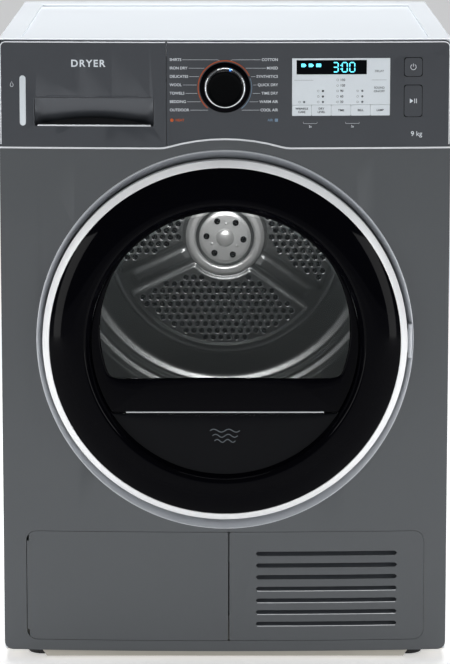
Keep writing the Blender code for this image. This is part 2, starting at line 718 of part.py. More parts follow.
def make_hinge_plate():
    axis_at = (HINGE_X, at(HINGE_DEPTH))
    left, right = HINGE_X - 2.8, HINGE_X - 0.3
    tail = 18.4
    outer = POCKET_RADIUS + DISH_WALL + GAP
    plate = box("hinge_plate", (outer, outer + 34), (at(17), at(19)), (DOOR_Z - 40, DOOR_Z + 40))
    outline = [
        (left, at(HINGE_DEPTH)), (HINGE_X + 2.8, at(HINGE_DEPTH)), (HINGE_X + 2.8, at(4)), (right, at(6)),
        (right, at(tail - 0.8)), (HINGE_X + 4, at(tail - 0.8)), (HINGE_X + 4, at(tail)), (left, at(tail)),
    ]
    for low in (DOOR_Z - 23, DOOR_Z + 15):
        lug = prism("lug", outline, low, low + 8, "Z")
        join(lug, rod("eye", KNUCKLE_RADIUS, low + 0.4, low + 7.6, "Z", axis_at, 24))
        join(plate, lug)
    join(plate, rod("pin", PIN_RADIUS, DOOR_Z - 21, DOOR_Z + 21, "Z", axis_at, 18))
    finish(plate, STEEL)


def make_lock():
    front = POCKET_DEPTH + 2.5 + GAP
    case_x, case_z = (HOOK_X - 12, HOOK_X + 26), (DOOR_Z - 28, DOOR_Z + 28)
    lock = box("door_lock", case_x, (at(front), at(front + 24)), case_z)
    slot = box("slot", (HOOK_X - 2, HOOK_X + 5), (at(front - 5), at(front + 18)), (DOOR_Z - 9, DOOR_Z + 9))
    finish(cut(lock, slot), DARK)


# ---- Drum and drive --------------------------------------------------------------------
def make_drum():
    pivot = (0, at(DRUM_REAR), DRUM_Z)
    centre = (0, DRUM_Z)
    inner = DRUM_RADIUS - DRUM_WALL
    front, rear = at(DRUM_FRONT), at(DRUM_REAR)
    profile = [
        (DRUM_MOUTH, front), (DRUM_RADIUS, front), (DRUM_RADIUS, rear), (inner, rear),
        (inner, front + 2), (DRUM_MOUTH, front + 2),
    ]
    finish(turned("drum_shell", profile, "Y", centre, DRUM_STEPS), STEEL, pivot)

    plate = inner - GAP
    back_rear = rear - 2
    back_front = back_rear - BACK_PLATE
    profile = [(0, back_front), (plate, back_front), (plate, back_rear), (0, back_rear)]
    finish(turned("drum_back", profile, "Y", centre, DRUM_STEPS), STEEL, pivot)

    flange = back_rear + GAP
    profile = [
        (0, flange), (38, flange), (38, flange + 3.2), (SHAFT_RADIUS, flange + 3.2),
        (SHAFT_RADIUS, REAR_Y - 4), (0, REAR_Y - 4),
    ]
    finish(turned("drum_shaft", profile, "Y", centre, 28), STEEL, pivot)

    seat = inner - 0.9
    foot = math.sqrt(seat ** 2 - LIFTER_HALF ** 2)
    for name, side in (("lifter_left", -1), ("lifter_right", 1)):
        outline = [
            (side * foot, DRUM_Z - LIFTER_HALF), (side * foot, DRUM_Z + LIFTER_HALF),
            (side * (foot - 0.55 * LIFTER_HEIGHT), DRUM_Z + 0.45 * LIFTER_HALF),
            (side * (foot - LIFTER_HEIGHT), DRUM_Z + 6), (side * (foot - LIFTER_HEIGHT), DRUM_Z - 6),
            (side * (foot - 0.55 * LIFTER_HEIGHT), DRUM_Z - 0.45 * LIFTER_HALF),
        ]
        finish(prism(name, outline, front + 38, rear - 35), GREY, pivot)


def make_rollers():
    front = at(ROLLER_FRONT)
    rear = front + ROLLER_WIDTH
    for name, side in (("roller_left", -1), ("roller_right", 1)):
        x, z = roller_place(side)
        bore = AXLE_RADIUS + GAP
        profile = [
            (bore, front), (ROLLER_RADIUS - 1, front), (ROLLER_RADIUS, front + 1),
            (ROLLER_RADIUS, rear - 1), (ROLLER_RADIUS - 1, rear), (bore, rear),
        ]
        finish(turned(name, profile, "Y", (x, z), 24), RUBBER, (x, front, z))


def wrap(circles, steps=72):
    """The taut loop round circles of (x, z, radius): the convex hull of their points."""
    angles = np.linspace(0, 2 * math.pi, steps, endpoint=False)
    points = sorted({
        (round(x + r * math.cos(a), 4), round(z + r * math.sin(a), 4)) for x, z, r in circles for a in angles
    })
    hull = []
    for run in (points, points[::-1]):
        start = len(hull)
        for x, z in run:
            while len(hull) >= start + 2:
                (ax, az), (bx, bz) = hull[-2:]
                if (bx - ax) * (z - az) - (bz - az) * (x - ax) > 0:
                    break
                hull.pop()
            hull.append((x, z))
        hull.pop()
    return hull


def make_drive():
    front = at(BELT_FRONT)
    slack = 1.2
    inside = [(0, DRUM_Z, DRUM_RADIUS + slack), (MOTOR_X, MOTOR_Z, PULLEY_RADIUS + 0.6)]
    outside = [(x, z, r + BELT_THICK) for x, z, r in inside]
    belt = prism("drum_belt", wrap(outside), front, front + BELT_WIDTH, holes=[wrap(inside)])
    finish(belt, RUBBER)

    motor_front = front + BELT_WIDTH + 7
    motor_rear = motor_front + 115
    centre = (MOTOR_X, MOTOR_Z)
    profile = [
        (0, motor_front), (MOTOR_RADIUS - 5, motor_front), (MOTOR_RADIUS, motor_front + 5),
        (MOTOR_RADIUS, motor_rear - 5), (MOTOR_RADIUS - 5, motor_rear), (0, motor_rear),
    ]
    motor = turned("drive_motor", profile, "Y", centre, 24)
    cradle = box(
        "cradle", (MOTOR_X - 30, MOTOR_X + 30), (motor_front + 15, motor_rear - 15), (FLOOR_Z, MOTOR_Z - 20)
    )
    join(motor, cradle)
    cut(motor, rod("bore", ROTOR_RADIUS + 0.5, motor_front - 9, motor_rear + 9, "Y", centre))
    finish(motor, ZINC)

    fan_rear = motor_rear + 65
    shaft_front = front - 3
    profile = [
        (0, shaft_front), (PULLEY_RADIUS, shaft_front), (PULLEY_RADIUS, front + BELT_WIDTH + 3),
        (ROTOR_RADIUS, front + BELT_WIDTH + 3), (ROTOR_RADIUS, fan_rear + 5), (0, fan_rear + 5),
    ]
    pivot = (MOTOR_X, front, MOTOR_Z)
    finish(turned("motor_pulley", profile, "Y", centre, 28), STEEL, pivot)
    profile = [
        (ROTOR_RADIUS + GAP, fan_rear - 35), (14, fan_rear - 35),
        (14, fan_rear - 3), (FAN_RADIUS - 3, fan_rear - 3),
        (FAN_RADIUS - 3, fan_rear - 43), (FAN_RADIUS, fan_rear - 43),
        (FAN_RADIUS, fan_rear), (ROTOR_RADIUS + GAP, fan_rear),
    ]
    finish(turned("fan_wheel", profile, "Y", centre, 28), GREY, pivot)


def make_heat_pump():
    for name, ys in (("evaporator", EVAPORATOR_Y), ("condenser", CONDENSER_Y)):
        core = box(name, (EXCHANGER_LEFT, EXCHANGER_RIGHT), ys, (FLOOR_Z, EXCHANGER_TOP))
        finish(core, COPPER if name == "condenser" else ZINC)
    radius = COMPRESSOR_RADIUS
    profile = [
        (0, FLOOR_Z), (radius, FLOOR_Z), (radius, 150), (radius - 4, 166), (radius - 20, 180),
        (radius - 40, 188), (0, 190),
    ]
    finish(turned("compressor", profile, "Z", COMPRESSOR_AT, 28), DARK)


# ---- Drawer, tank, filter and flap -----------------------------------------------------
def skin_outline(left, right, inset, corner_left, corner_right):
    """Outline of a piece of the control strip, above the arch and inset all round."""
    low = arch_line(left + inset, right - inset, GAP + TRIM + GAP + inset)
    high = FASCIA_TOP - inset
    tops = []
    for x, radius, start in ((right - inset, corner_right, 0), (left + inset, corner_left, 90)):
        if radius > inset:
            r = radius - inset
            tops += arc(x - r if start == 0 else x + r, high - r, r, start, start + 90, 5)
        else:
            tops.append((x, high))
    return low + tops


def skin_tray(name, left, right, corner_left, corner_right):
    wall = 2.5
    tray = prism(name, skin_outline(left, right, 0, corner_left, corner_right), at(0), at(SKIN_DEPTH))
    inner = skin_outline(left, right, wall, corner_left, corner_right)
    return cut(tray, prism("inside", inner, at(wall), at(SKIN_DEPTH + 5)))


def tank_outline():
    left, low, high = -HALF + 12, HEIGHT - 115, HEIGHT - 12
    return [(left, low), (-215, low), (-150, high - 68), (-92, high - 43), (-92, high), (left, high)]


def make_drawer():
    front = skin_tray("drawer_front", -HALF, SEAM_X - GAP, CORNER, 0)
    wall = 2.5
    shell_x, shell_z = (GRIP_LEFT - wall, GRIP_RIGHT + wall), (GRIP_BOTTOM - wall, GRIP_TOP + wall)
    shell = box("shell", shell_x, (at(1), at(GRIP_DEPTH + wall)), shell_z)
    join(front, shell)
    scoop = prism(
        "scoop", rounded(GRIP_LEFT, GRIP_RIGHT, GRIP_BOTTOM, GRIP_TOP, (3,) * 4, 2), at(-5), at(GRIP_DEPTH)
    )
    cut(front, scoop)
    bow(front)
    carrier_x, carrier_y = (GRIP_LEFT + 20, GRIP_RIGHT - 20), (at(GRIP_DEPTH), at(TANK_FRONT - GAP))
    carrier = box("carrier", carrier_x, carrier_y, (GRIP_TOP - 8, GRIP_TOP + 1))
    join(front, carrier)
    finish(front, DARK, (0, at(0), 0))

    outline = tank_outline()
    tank = prism("water_tank", outline, at(TANK_FRONT), at(TANK_REAR))
    hollow = prism("hollow", grow(outline, -TANK_WALL), at(TANK_FRONT + TANK_WALL), at(TANK_REAR - TANK_WALL))
    inlet = rod("inlet", 12, HEIGHT - 30, HEIGHT, "Z", (-190, at(TANK_REAR - 40)))
    finish(cut(tank, join(hollow, inlet)), GREY, (0, at(0), 0))

    bore = [grow(outline, 0.6)]
    sleeve = prism("tank_housing", grow(outline, 3.4), at(TANK_FRONT + 1.5), at(TANK_REAR + 20), holes=bore)
    side = -HALF + SHEET + GAP
    bracket = box("bracket", (side, -HALF + 10), (at(120), at(440)), (HEIGHT - 70, HEIGHT - 60))
    finish(join(sleeve, bracket), GREY)


def make_filter():
    half = FILTER_HALF
    front, rear = at(FILTER_FRONT), at(FILTER_FRONT + FILTER_THICK)
    blade = box("lint_filter", (-half, half), (front, rear), (FILTER_BOTTOM, FILTER_TOP))
    grip = box("grip", (-28, 28), (front + 1, rear - 1), (FILTER_TOP - 3, FILTER_TOP + 12))
    recess_z = (FILTER_BOTTOM + 7, FILTER_TOP - 9)
    recess = box("recess", (-half + 7, half - 7), (front + 2.5, rear + 5), recess_z)
    join(blade, grip)
    cut(blade, recess)
    finish(blade, BLUE, (0, front, FILTER_BOTTOM))


def make_flap():
    corner = 13.5
    outline = rounded(FLAP_LEFT, FLAP_RIGHT, FLAP_BOTTOM, FLAP_TOP, (corner, 2, 2, corner))
    flap = prism("service_flap", outline, at(0), at(FLAP_THICK))
    bow(flap)
    radius = FLAP_THICK / 2
    axis_x = FLAP_LEFT + radius
    axis_y = at(bow_at(axis_x) + radius)
    past = FLAP_LEFT - 3
    edge = [(past, axis_y - 6), (axis_x, axis_y - 6), (axis_x, axis_y + 6), (past, axis_y + 6)]
    bullnose = arc(axis_x, axis_y, radius + 0.02, 90, 270, 10)
    outside = prism("outside", edge, FLAP_BOTTOM - 5, FLAP_TOP + 5, "Z")
    bullnose += [(axis_x + 2, axis_y - radius), (axis_x + 2, axis_y + radius)]
    round_edge = prism("round_edge", bullnose, FLAP_BOTTOM - 9, FLAP_TOP + 9, "Z")
    cut(outside, round_edge)
    cut(flap, outside)
    relief_x = (FLAP_LEFT - 5, FLAP_LEFT + FLAP_THICK + 0.3)
    relief_y = (at(-5), at(BOW + FLAP_THICK + 5))
    low_relief = box("low_relief", relief_x, relief_y, (FLAP_BOTTOM - 5, FLAP_BOTTOM + corner))
    high_relief = box("high_relief", relief_x, relief_y, (FLAP_TOP - corner, FLAP_TOP + 5))
    cut(flap, low_relief, high_relief)
    finish(flap, SILVER, (axis_x, axis_y, FLAP_BOTTOM))

    outline = rounded(FLAP_RIGHT + 1.7, LOWER_RIGHT, FLAP_BOTTOM, FLAP_TOP, (2, 13.5, 13.5, 2))
    grille = prism("air_grille", outline, at(0), at(FLAP_THICK))
    slots = []
    for index in range(LOUVRE_COUNT):
        top = LOUVRE_TOP - index * LOUVRE_PITCH
        slot = rounded(LOUVRE_LEFT, LOUVRE_RIGHT, top - LOUVRE_HEIGHT, top, (2.5,) * 4, 1)
        slots.append(prism("slot", slot, at(-5), at(FLAP_THICK + 5)))
    cut(grille, *slots)
    finish(bow(grille), SILVER)


# ---- Controls --------------------------------------------------------------------------
def front_block(name, left, right, low, high, depths, radius, look, is_moving=False):
    """A small piece set in the fascia: a rounded rectangle, bowed with the front."""
    block = prism(name, rounded(left, right, low, high, (radius,) * 4, 3), at(depths[0]), at(depths[1]))
    middle = (left + right) / 2
    pivot = (middle, at(bow_at(middle)), (low + high) / 2) if is_moving else None
    return finish(bow(block), look, pivot)


def make_controls():
    fascia = skin_tray("control_fascia", SEAM_X + GAP, HALF, 0, CORNER)
    through = (at(-5), at(SKIN_DEPTH + 5))
    hole_x, hole_z = (PANEL_LEFT - GAP, PANEL_RIGHT + GAP), (PANEL_LOW - GAP, PANEL_HIGH + GAP)
    display_hole = box("display_hole", hole_x, through, hole_z)
    play = 0.4
    button_x = (BUTTON_LEFT - play, BUTTON_RIGHT + play)
    power_hole = box("power_hole", button_x, through, (POWER_LOW - play, POWER_HIGH + play))
    start_hole = box("start_hole", button_x, through, (START_LOW - play, START_HIGH + play))
    shaft_hole = rod("shaft_hole", 5, *through, "Y", (0, KNOB_Z))
    cut(fascia, display_hole, power_hole, start_hole, shaft_hole)
    finish(bow(fascia), DARK)

    plate_low = PANEL_LOW + KEY_HEIGHT + GAP
    plate = box("display_plate", (PANEL_LEFT, PANEL_RIGHT), (at(GAP), at(3)), (plate_low, PANEL_HIGH))
    left, right, low, high = SCREEN
    window = box("window", (left - GAP, right + GAP), through, (low - GAP, high + GAP))
    finish(bow(cut(plate, window)), GREY)
    front_block("display_screen", left, right, low, high, (0.6, 2.6), 1.0, BLACK)

    width = (PANEL_RIGHT - PANEL_LEFT) / len(KEY_NAMES)
    for index, name in enumerate(KEY_NAMES):
        left = PANEL_LEFT + index * width
        near, far = left + GAP / 2, left + width - GAP / 2
        front_block(name, near, far, PANEL_LOW, PANEL_LOW + KEY_HEIGHT, (0.2, 6), 1.0, GREY, True)
    front_block("power_button", BUTTON_LEFT, BUTTON_RIGHT, POWER_LOW, POWER_HIGH, (-0.4, 7), 4.0, GREY, True)
    front_block("start_button", BUTTON_LEFT, BUTTON_RIGHT, START_LOW, START_HIGH, (-0.4, 7), 4.0, GREY, True)

    centre = (0, KNOB_Z)
    board = box("control_board", (SEAM_X + 10, HALF - 20), (at(20), at(22)), (HEIGHT - 112, HEIGHT - 15))
    encoder = box("encoder", (-12, 12), (at(2.5 + GAP), at(21)), (KNOB_Z - 12, KNOB_Z + 12))
    shaft = rod("shaft", 3, at(-8), at(6), "Y", centre)
    join(board, encoder, shaft)
    finish(board, GREEN)

    inside = KNOB_RING + 0.5
    profile = [(inside, -GAP), (DIAL_RADIUS, -GAP), (DIAL_RADIUS - 0.4, -1.9), (inside, -1.9)]
    finish(turned("dial_ring", [(r, at(d)) for r, d in profile], "Y", centre, 48), BLACK)
    profile = [
        (0, -KNOB_PROUD), (KNOB_RADIUS - 2, -KNOB_PROUD), (KNOB_RADIUS, -KNOB_PROUD + 2), (KNOB_RADIUS, -9),
        (KNOB_RING, -8), (KNOB_RING, -1), (3 + GAP, -1), (3 + GAP, -12), (0, -12),
    ]
    knob = turned("program_knob", [(r, at(d)) for r, d in profile], "Y", centre, 48)
    finish(knob, BLACK, (0, at(-1), KNOB_Z))


def main():
    clear_scene()
    group = bpy.data.collections.new("clothes_dryer")
    bpy.context.scene.collection.children.link(group)
    make_base()
    make_feet()
    make_side("left_side_panel", -1)
    make_side("right_side_panel", 1)
    make_rear()
    make_top()
    make_front_panel()
    make_surround()
    make_bulkhead()
    make_door()
    make_hinge_plate()
    make_lock()
    make_drum()
    make_rollers()
    make_drive()
    make_heat_pump()
    make_drawer()
    make_filter()
    make_flap()
    make_controls()


main()
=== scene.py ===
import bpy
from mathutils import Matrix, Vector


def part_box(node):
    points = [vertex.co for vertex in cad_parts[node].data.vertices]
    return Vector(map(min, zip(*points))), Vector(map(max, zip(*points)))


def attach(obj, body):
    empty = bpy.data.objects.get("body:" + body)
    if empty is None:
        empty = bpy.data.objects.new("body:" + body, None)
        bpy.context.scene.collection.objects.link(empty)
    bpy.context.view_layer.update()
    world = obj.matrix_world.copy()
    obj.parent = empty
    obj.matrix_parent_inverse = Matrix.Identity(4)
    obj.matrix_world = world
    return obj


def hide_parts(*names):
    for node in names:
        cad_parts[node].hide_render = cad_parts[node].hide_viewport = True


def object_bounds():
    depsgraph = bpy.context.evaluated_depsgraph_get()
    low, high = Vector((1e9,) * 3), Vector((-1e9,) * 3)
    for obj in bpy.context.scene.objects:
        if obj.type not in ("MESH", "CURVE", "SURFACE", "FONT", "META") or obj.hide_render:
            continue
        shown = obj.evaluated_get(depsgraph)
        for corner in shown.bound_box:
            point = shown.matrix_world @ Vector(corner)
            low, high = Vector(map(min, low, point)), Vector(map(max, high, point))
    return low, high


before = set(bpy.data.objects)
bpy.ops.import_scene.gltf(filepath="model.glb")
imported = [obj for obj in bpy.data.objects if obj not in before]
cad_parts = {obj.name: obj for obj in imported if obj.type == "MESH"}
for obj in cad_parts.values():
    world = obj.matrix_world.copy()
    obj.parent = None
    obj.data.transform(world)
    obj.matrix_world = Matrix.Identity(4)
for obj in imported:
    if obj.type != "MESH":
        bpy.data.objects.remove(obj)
CAD_BOX = [list(corner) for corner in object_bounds()]

import math

import bmesh
import bpy
import numpy as np
from bpy.props import FloatProperty, FloatVectorProperty, IntProperty, PointerProperty
from mathutils import Matrix, Vector

bl_info = {
    "name": "Clothes Dryer",
    "version": (1, 0, 0),
    "blender": (4, 5, 0),
    "location": "View3D > Sidebar > Dryer",
    "description": "Builds the finished surfaces of a front-loading clothes dryer",
    "category": "Object",
}

MM = 0.001
PANEL_LOW, PANEL_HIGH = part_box("front_panel")
RING_LOW, RING_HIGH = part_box("door_ring")
HALF = PANEL_HIGH.x / MM
CROWN = PANEL_LOW.y
BOW = 11.0  # how far the sides of the front fall behind its crown, in millimetres
DOOR_Z = (RING_LOW.z + RING_HIGH.z) / 2 / MM
RING_R = (RING_HIGH.x - RING_LOW.x) / 2 / MM
COVER_R = (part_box("door_cover")[1].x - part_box("door_cover")[0].x) / 2 / MM
PANE_R = (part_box("door_window")[1].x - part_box("door_window")[0].x) / 2 / MM
TOP = CAD_BOX[1][2] / MM
PANEL_TOP = TOP - 147.0  # where the front panel meets the control strip
FASCIA_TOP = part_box("control_fascia")[1].z / MM
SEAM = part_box("control_fascia")[0].x / MM - 0.3
KNOB_Z = (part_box("program_knob")[0].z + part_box("program_knob")[1].z) / 2 / MM
DRUM_Z = (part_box("drum_shell")[0].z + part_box("drum_shell")[1].z) / 2 / MM
BACK_DEPTH = (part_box("drum_back")[0].y - CROWN) / MM
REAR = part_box("rear_panel")[1].y / MM


# ---- Shader expressions ----------------------------------------------------------------
class Socket:
    """A shader socket that takes part in Python arithmetic by adding Math nodes."""

    def __init__(self, finish, socket):
        self.finish = finish
        self.socket = socket

    def math(self, operation, first, second):
        return self.finish.node("ShaderNodeMath", {"operation": operation}, {0: first, 1: second})

    def __add__(self, other):
        return self.math("ADD", self, other)

    def __radd__(self, other):
        return self.math("ADD", other, self)

    def __sub__(self, other):
        return self.math("SUBTRACT", self, other)

    def __rsub__(self, other):
        return self.math("SUBTRACT", other, self)

    def __mul__(self, other):
        return self.math("MULTIPLY", self, other)

    def __rmul__(self, other):
        return self.math("MULTIPLY", other, self)

    def __pow__(self, other):
        return self.math("POWER", self, other)


class Finish:
    """A Principled material built from node() calls and Socket expressions."""

    def __init__(self, name, colour, metallic, roughness, **fixed):
        self.material = bpy.data.materials.new(name)
        self.material.use_nodes = True
        self.tree = self.material.node_tree
        self.shader = self.tree.nodes["Principled BSDF"]
        self.colour = (*linear(colour), 1)
        self.feed(self.shader.inputs["Base Color"], self.colour)
        self.feed(self.shader.inputs["Metallic"], metallic)
        self.feed(self.shader.inputs["Roughness"], roughness)
        for key, value in fixed.items():
            self.feed(self.shader.inputs[key.replace("_", " ")], value)

    def feed(self, target, value):
        if isinstance(value, Socket):
            self.tree.links.new(value.socket, target)
        else:
            target.default_value = value

    def node(self, kind, settings=None, inputs=None, output=0):
        node = self.tree.nodes.new(kind)
        for key, value in (settings or {}).items():
            if key == "stops":
                for element, (place, shade) in zip(node.color_ramp.elements, value):
                    element.position = place
                    element.color = (shade, shade, shade, 1)
            else:
                setattr(node, key, value)
        for key, value in (inputs or {}).items():
            self.feed(node.inputs[key], value)
        return Socket(self, node.outputs[output])

    def place(self, scale=(1, 1, 1), centre=(0, 0, 0)):
        """Object coordinates, moved by a centre and then stretched along each axis."""
        at = self.node("ShaderNodeTexCoord", output=3)
        moved = self.node("ShaderNodeVectorMath", {"operation": "SUBTRACT"}, {0: at, 1: centre})
        return self.node("ShaderNodeVectorMath", {"operation": "MULTIPLY"}, {0: moved, 1: scale})

    def noise(self, scale, detail=2.0, stretch=(1, 1, 1)):
        return self.node(
            "ShaderNodeTexNoise", None, {"Vector": self.place(stretch), "Scale": scale, "Detail": detail}
        )

    def tint(self, amount, field, darker=0.7):
        """Mixes the base colour towards a darker one by a field scaled to an amount."""
        shade = tuple(c * darker for c in self.colour[:3]) + (1,)
        mixed = self.node(
            "ShaderNodeMix", {"data_type": "RGBA"}, {"Factor": field * amount, 6: self.colour,
                7: shade}, 2
        )
        self.feed(self.shader.inputs["Base Color"], mixed)
        return self

    def rough(self, base, spread, field):
        self.feed(self.shader.inputs["Roughness"], base - spread / 2 + field * spread)
        return self

    def bump(self, strength, field, distance=0.0002):
        normal = self.node(
            "ShaderNodeBump", None, {"Strength": strength, "Distance": distance, "Height": field}
        )
        self.feed(self.shader.inputs["Normal"], normal)
        return self


def linear(colour):
    """Screen values from 0 to 255 turned into linear light."""
    return tuple(((c / 255 + 0.055) / 1.055) ** 2.4 if c > 10 else c / 3294 for c in colour)


# ---- Finishes --------------------------------------------------------------------------
def enamel(name, colour, roughness=0.3):
    """Sprayed enamel: a faint orange-peel skin and slow drifts in gloss."""
    made = Finish(name, colour, 0.0, roughness, Coat_Weight=0.25)
    drift = made.noise(5.0, 3.0)
    return made.tint(0.18, drift, 0.86).rough(roughness, 0.08, drift).bump(0.08, made.noise(420.0, 1.0))


def metallic_paint(name, colour, roughness=0.4, metallic=0.35):
    """Silver-grey paint: tiny aluminium flakes under a soft clear skin."""
    made = Finish(name, colour, metallic, roughness, Coat_Weight=0.15)
    flakes = made.node("ShaderNodeTexVoronoi", None, {"Vector": made.place(), "Scale": 1500.0})
    drift = made.noise(4.0, 3.0)
    return made.tint(0.35, flakes, 0.72).rough(roughness, 0.1, drift).bump(0.05, made.noise(500.0, 1.0))


def brushed(name, colour, stretch, roughness=0.28, metallic=1.0):
    """Brushed metal: fine scratches drawn out along the direction with the small stretch."""
    made = Finish(name, colour, metallic, roughness)
    scratches = made.noise(60.0, 4.0, stretch)
    drift = made.noise(7.0, 2.0)
    made.tint(0.5, scratches, 0.66)
    return made.rough(roughness, 0.16, drift).bump(0.12, scratches)


def gloss(name, colour, roughness=0.06):
    """Polished black moulding with a trace of handling haze."""
    made = Finish(name, colour, 0.0, roughness, Specular_IOR_Level=0.04)
    haze = made.noise(14.0, 5.0)
    return made.tint(0.3, haze, 0.6).rough(roughness, 0.05, haze).bump(0.01, made.noise(180.0, 1.0))


def moulded(name, colour, roughness=0.5, grain=700.0, depth=0.22, shine=0.5):
    """Moulded plastic with a fine spark-eroded grain."""
    made = Finish(name, colour, 0.0, roughness, Specular_IOR_Level=shine)
    grains = made.noise(grain, 2.0)
    return made.tint(0.25, made.noise(9.0, 3.0), 0.8).rough(roughness, 0.12, grains).bump(depth, grains)


def rubber(name, colour=(34, 34, 36)):
    """Matt rubber: a dusty bloom over a fine pebbled skin."""
    made = Finish(name, colour, 0.0, 0.78)
    bloom = made.noise(30.0, 4.0)
    return made.tint(0.6, bloom, 0.6).rough(0.78, 0.16, bloom).bump(0.35, made.noise(950.0, 2.0))


def zinc(name, colour=(158, 162, 166)):
    """Galvanised sheet: crystal spangle that shifts in tone and gloss."""
    made = Finish(name, colour, 0.9, 0.42)
    spangle = made.node("ShaderNodeTexVoronoi", None, {"Vector": made.place(), "Scale": 85.0}, 1)
    tone = made.node("ShaderNodeRGBToBW", None, {"Color": spangle})
    return made.tint(0.55, tone, 0.72).rough(0.42, 0.2, tone).bump(0.06, made.noise(300.0, 2.0))


def glass(name, colour, alpha, roughness=0.03):
    """Tinted glass seen through by its alpha, with a slight wipe haze."""
    made = Finish(name, colour, 0.0, roughness, Alpha=alpha, Specular_IOR_Level=0.25)
    haze = made.noise(11.0, 4.0)
    return made.rough(roughness, 0.03, haze).bump(0.01, made.noise(60.0, 1.0))


def ink(name, colour, glow=0.0):
    """Printed or lit marking with slightly uneven cover."""
    made = Finish(name, colour, 0.0, 0.45)
    cover = made.noise(260.0, 2.0)
    made.tint(0.25, cover, 0.82).rough(0.45, 0.1, cover)
    if glow:
        made.feed(made.shader.inputs["Emission Color"], made.colour)
        made.feed(made.shader.inputs["Emission Strength"], glow)
    return made


def finned(name, colour, pitch=0.0022):
    """Stamped heat-exchanger fins: even dark and bright stripes across X, painted shade in the gaps
    between fins and painted light on their edges.
    """
    made = Finish(name, colour, 0.9, 0.4)
    fin_shade_stripes = made.node(
        "ShaderNodeTexWave", {"bands_direction": "X"}, {"Vector": made.place(), "Scale": 0.314 / pitch,
            "Distortion": 0.2}, 1
    )
    return made.tint(0.8, fin_shade_stripes, 0.35).rough(0.4, 0.2, fin_shade_stripes).bump(0.6, fin_shade_stripes, 0.0008)


FINISHES = {}


def finish(name):
    """The named finish, made the first time it is asked for."""
    makers = {
        "white_enamel": lambda: enamel("white_enamel", (232, 237, 242)),
        "panel_paint": lambda: metallic_paint("panel_paint", tuple(bpy.context.scene.dryer.front_colour)),
        "flap_paint": lambda: metallic_paint("flap_paint", tuple(bpy.context.scene.dryer.front_colour)),
        "fascia_paint": lambda: metallic_paint("fascia_paint",
            tuple(bpy.context.scene.dryer.fascia_colour), 0.34, 0.4),
        "dish_silver": lambda: brushed("dish_silver", (192, 195, 200), (1, 40, 1), 0.32, 0.8),
        "bezel_white": lambda: brushed("bezel_white", (250, 251, 252), (1, 60, 1), 0.22, 0.12),
        "bright_strip": lambda: brushed("bright_strip", (238, 241, 245), (1, 50, 50), 0.22, 0.4),
        "piano_black": lambda: gloss("piano_black", (3, 3, 6)),
        "satin_black": lambda: moulded("satin_black", (11, 12, 15), 0.42, 900.0, 0.1, 0.08),
        "knob_black": lambda: gloss("knob_black", (5, 6, 7), 0.16),
        "tinted_pane": lambda: glass("tinted_pane", (6, 8, 10), 0.16),
        "bowl_glass": lambda: glass("bowl_glass", (120, 132, 134), 0.06),
        "drum_steel": lambda: brushed("drum_steel", (140, 142, 142), (1, 1, 1), 0.36),
        "hub_steel": lambda: brushed("hub_steel", (222, 223, 222), (30, 1, 1), 0.34, 0.6),
        "hole_dark": lambda: moulded("hole_dark", (12, 13, 15), 0.7, 300.0, 0.2, 0.1),
        "chrome": lambda: brushed("chrome", (222, 225, 228), (1, 1, 30), 0.1),
        "fitting_steel": lambda: brushed("fitting_steel", (176, 178, 180), (30, 1, 1), 0.3),
        "zinc_sheet": lambda: zinc("zinc_sheet"),
        "rubber": lambda: rubber("rubber"),
        "grey_plastic": lambda: moulded("grey_plastic", (148, 150, 152)),
        "tank_plastic": lambda: moulded("tank_plastic", (196, 202, 206), 0.36, 300.0, 0.08),
        "base_plastic": lambda: moulded("base_plastic", (186, 181, 170), 0.55),
        "dark_plastic": lambda: moulded("dark_plastic", (38, 39, 42), 0.5),
        "key_plastic": lambda: moulded("key_plastic", (212, 219, 224), 0.4, 800.0, 0.06),
        "filter_blue": lambda: moulded("filter_blue", (74, 104, 134), 0.45),
        "board_green": lambda: moulded("board_green", (30, 84, 56), 0.4, 500.0, 0.1),
        "alloy_fins": lambda: finned("alloy_fins", (176, 180, 184)),
        "copper_fins": lambda: finned("copper_fins", (186, 120, 84)),
        "compressor_black": lambda: enamel("compressor_black", (28, 29, 31), 0.38),
        "screen_black": lambda: gloss("screen_black", (5, 7, 10), 0.1),
        "ink_white": lambda: ink("ink_white", (214, 220, 226)),
        "ink_grey": lambda: ink("ink_grey", (92, 98, 104)),
        "ink_dark": lambda: ink("ink_dark", (46, 50, 56)),
        # ink_orange and ink_blue are printed marks given a faint painted glow, though no lamp lights
        # them.
        "ink_orange": lambda: ink("ink_orange", (178, 76, 16), 0.06),
        "ink_blue": lambda: ink("ink_blue", (104, 128, 150), 0.1),
        "cyan_glow": lambda: ink("cyan_glow", (96, 214, 236), 1.25),
        "blue_glow": lambda: ink("blue_glow", (60, 130, 250), 2.5),
    }
    if name not in FINISHES:
        FINISHES[name] = makers[name]().material
    return FINISHES[name]


# ---- Surfaces --------------------------------------------------------------------------
def bow_at(x):
    """How far the front lies behind its crown: the bow times the square of x over the half width."""
    return BOW * (np.asarray(x) / HALF) ** 2


def to_world(points, bowed=True):
    """Turns (x, depth, z) in millimetres, depth behind the crown, into world metres."""
    points = np.asarray(points, float)
    moved = points.copy()
    if bowed:
        moved[..., 1] += bow_at(points[..., 0])
    moved = moved * MM
    moved[..., 1] += CROWN
    return moved


def piece(name, verts, faces, look, body, slot=None, replaces=(), smooth=35, flip_free=False):
    """Makes an object from arrays of points and faces and ties it to its body."""
    mesh = bpy.data.meshes.new(name)
    mesh.from_pydata(np.asarray(verts).reshape(-1, 3).tolist(), [], faces)
    shape = bmesh.new()
    shape.from_mesh(mesh)
    bmesh.ops.remove_doubles(shape, verts=shape.verts, dist=0.000002)
    loose = [face for face in shape.faces if face.calc_area() < 1e-14]
    bmesh.ops.delete(shape, geom=loose, context="FACES_ONLY")
    if not flip_free:
        bmesh.ops.recalc_face_normals(shape, faces=shape.faces)
    shape.to_mesh(mesh)
    shape.free()
    return settle(name, mesh, look, body, replaces, smooth)


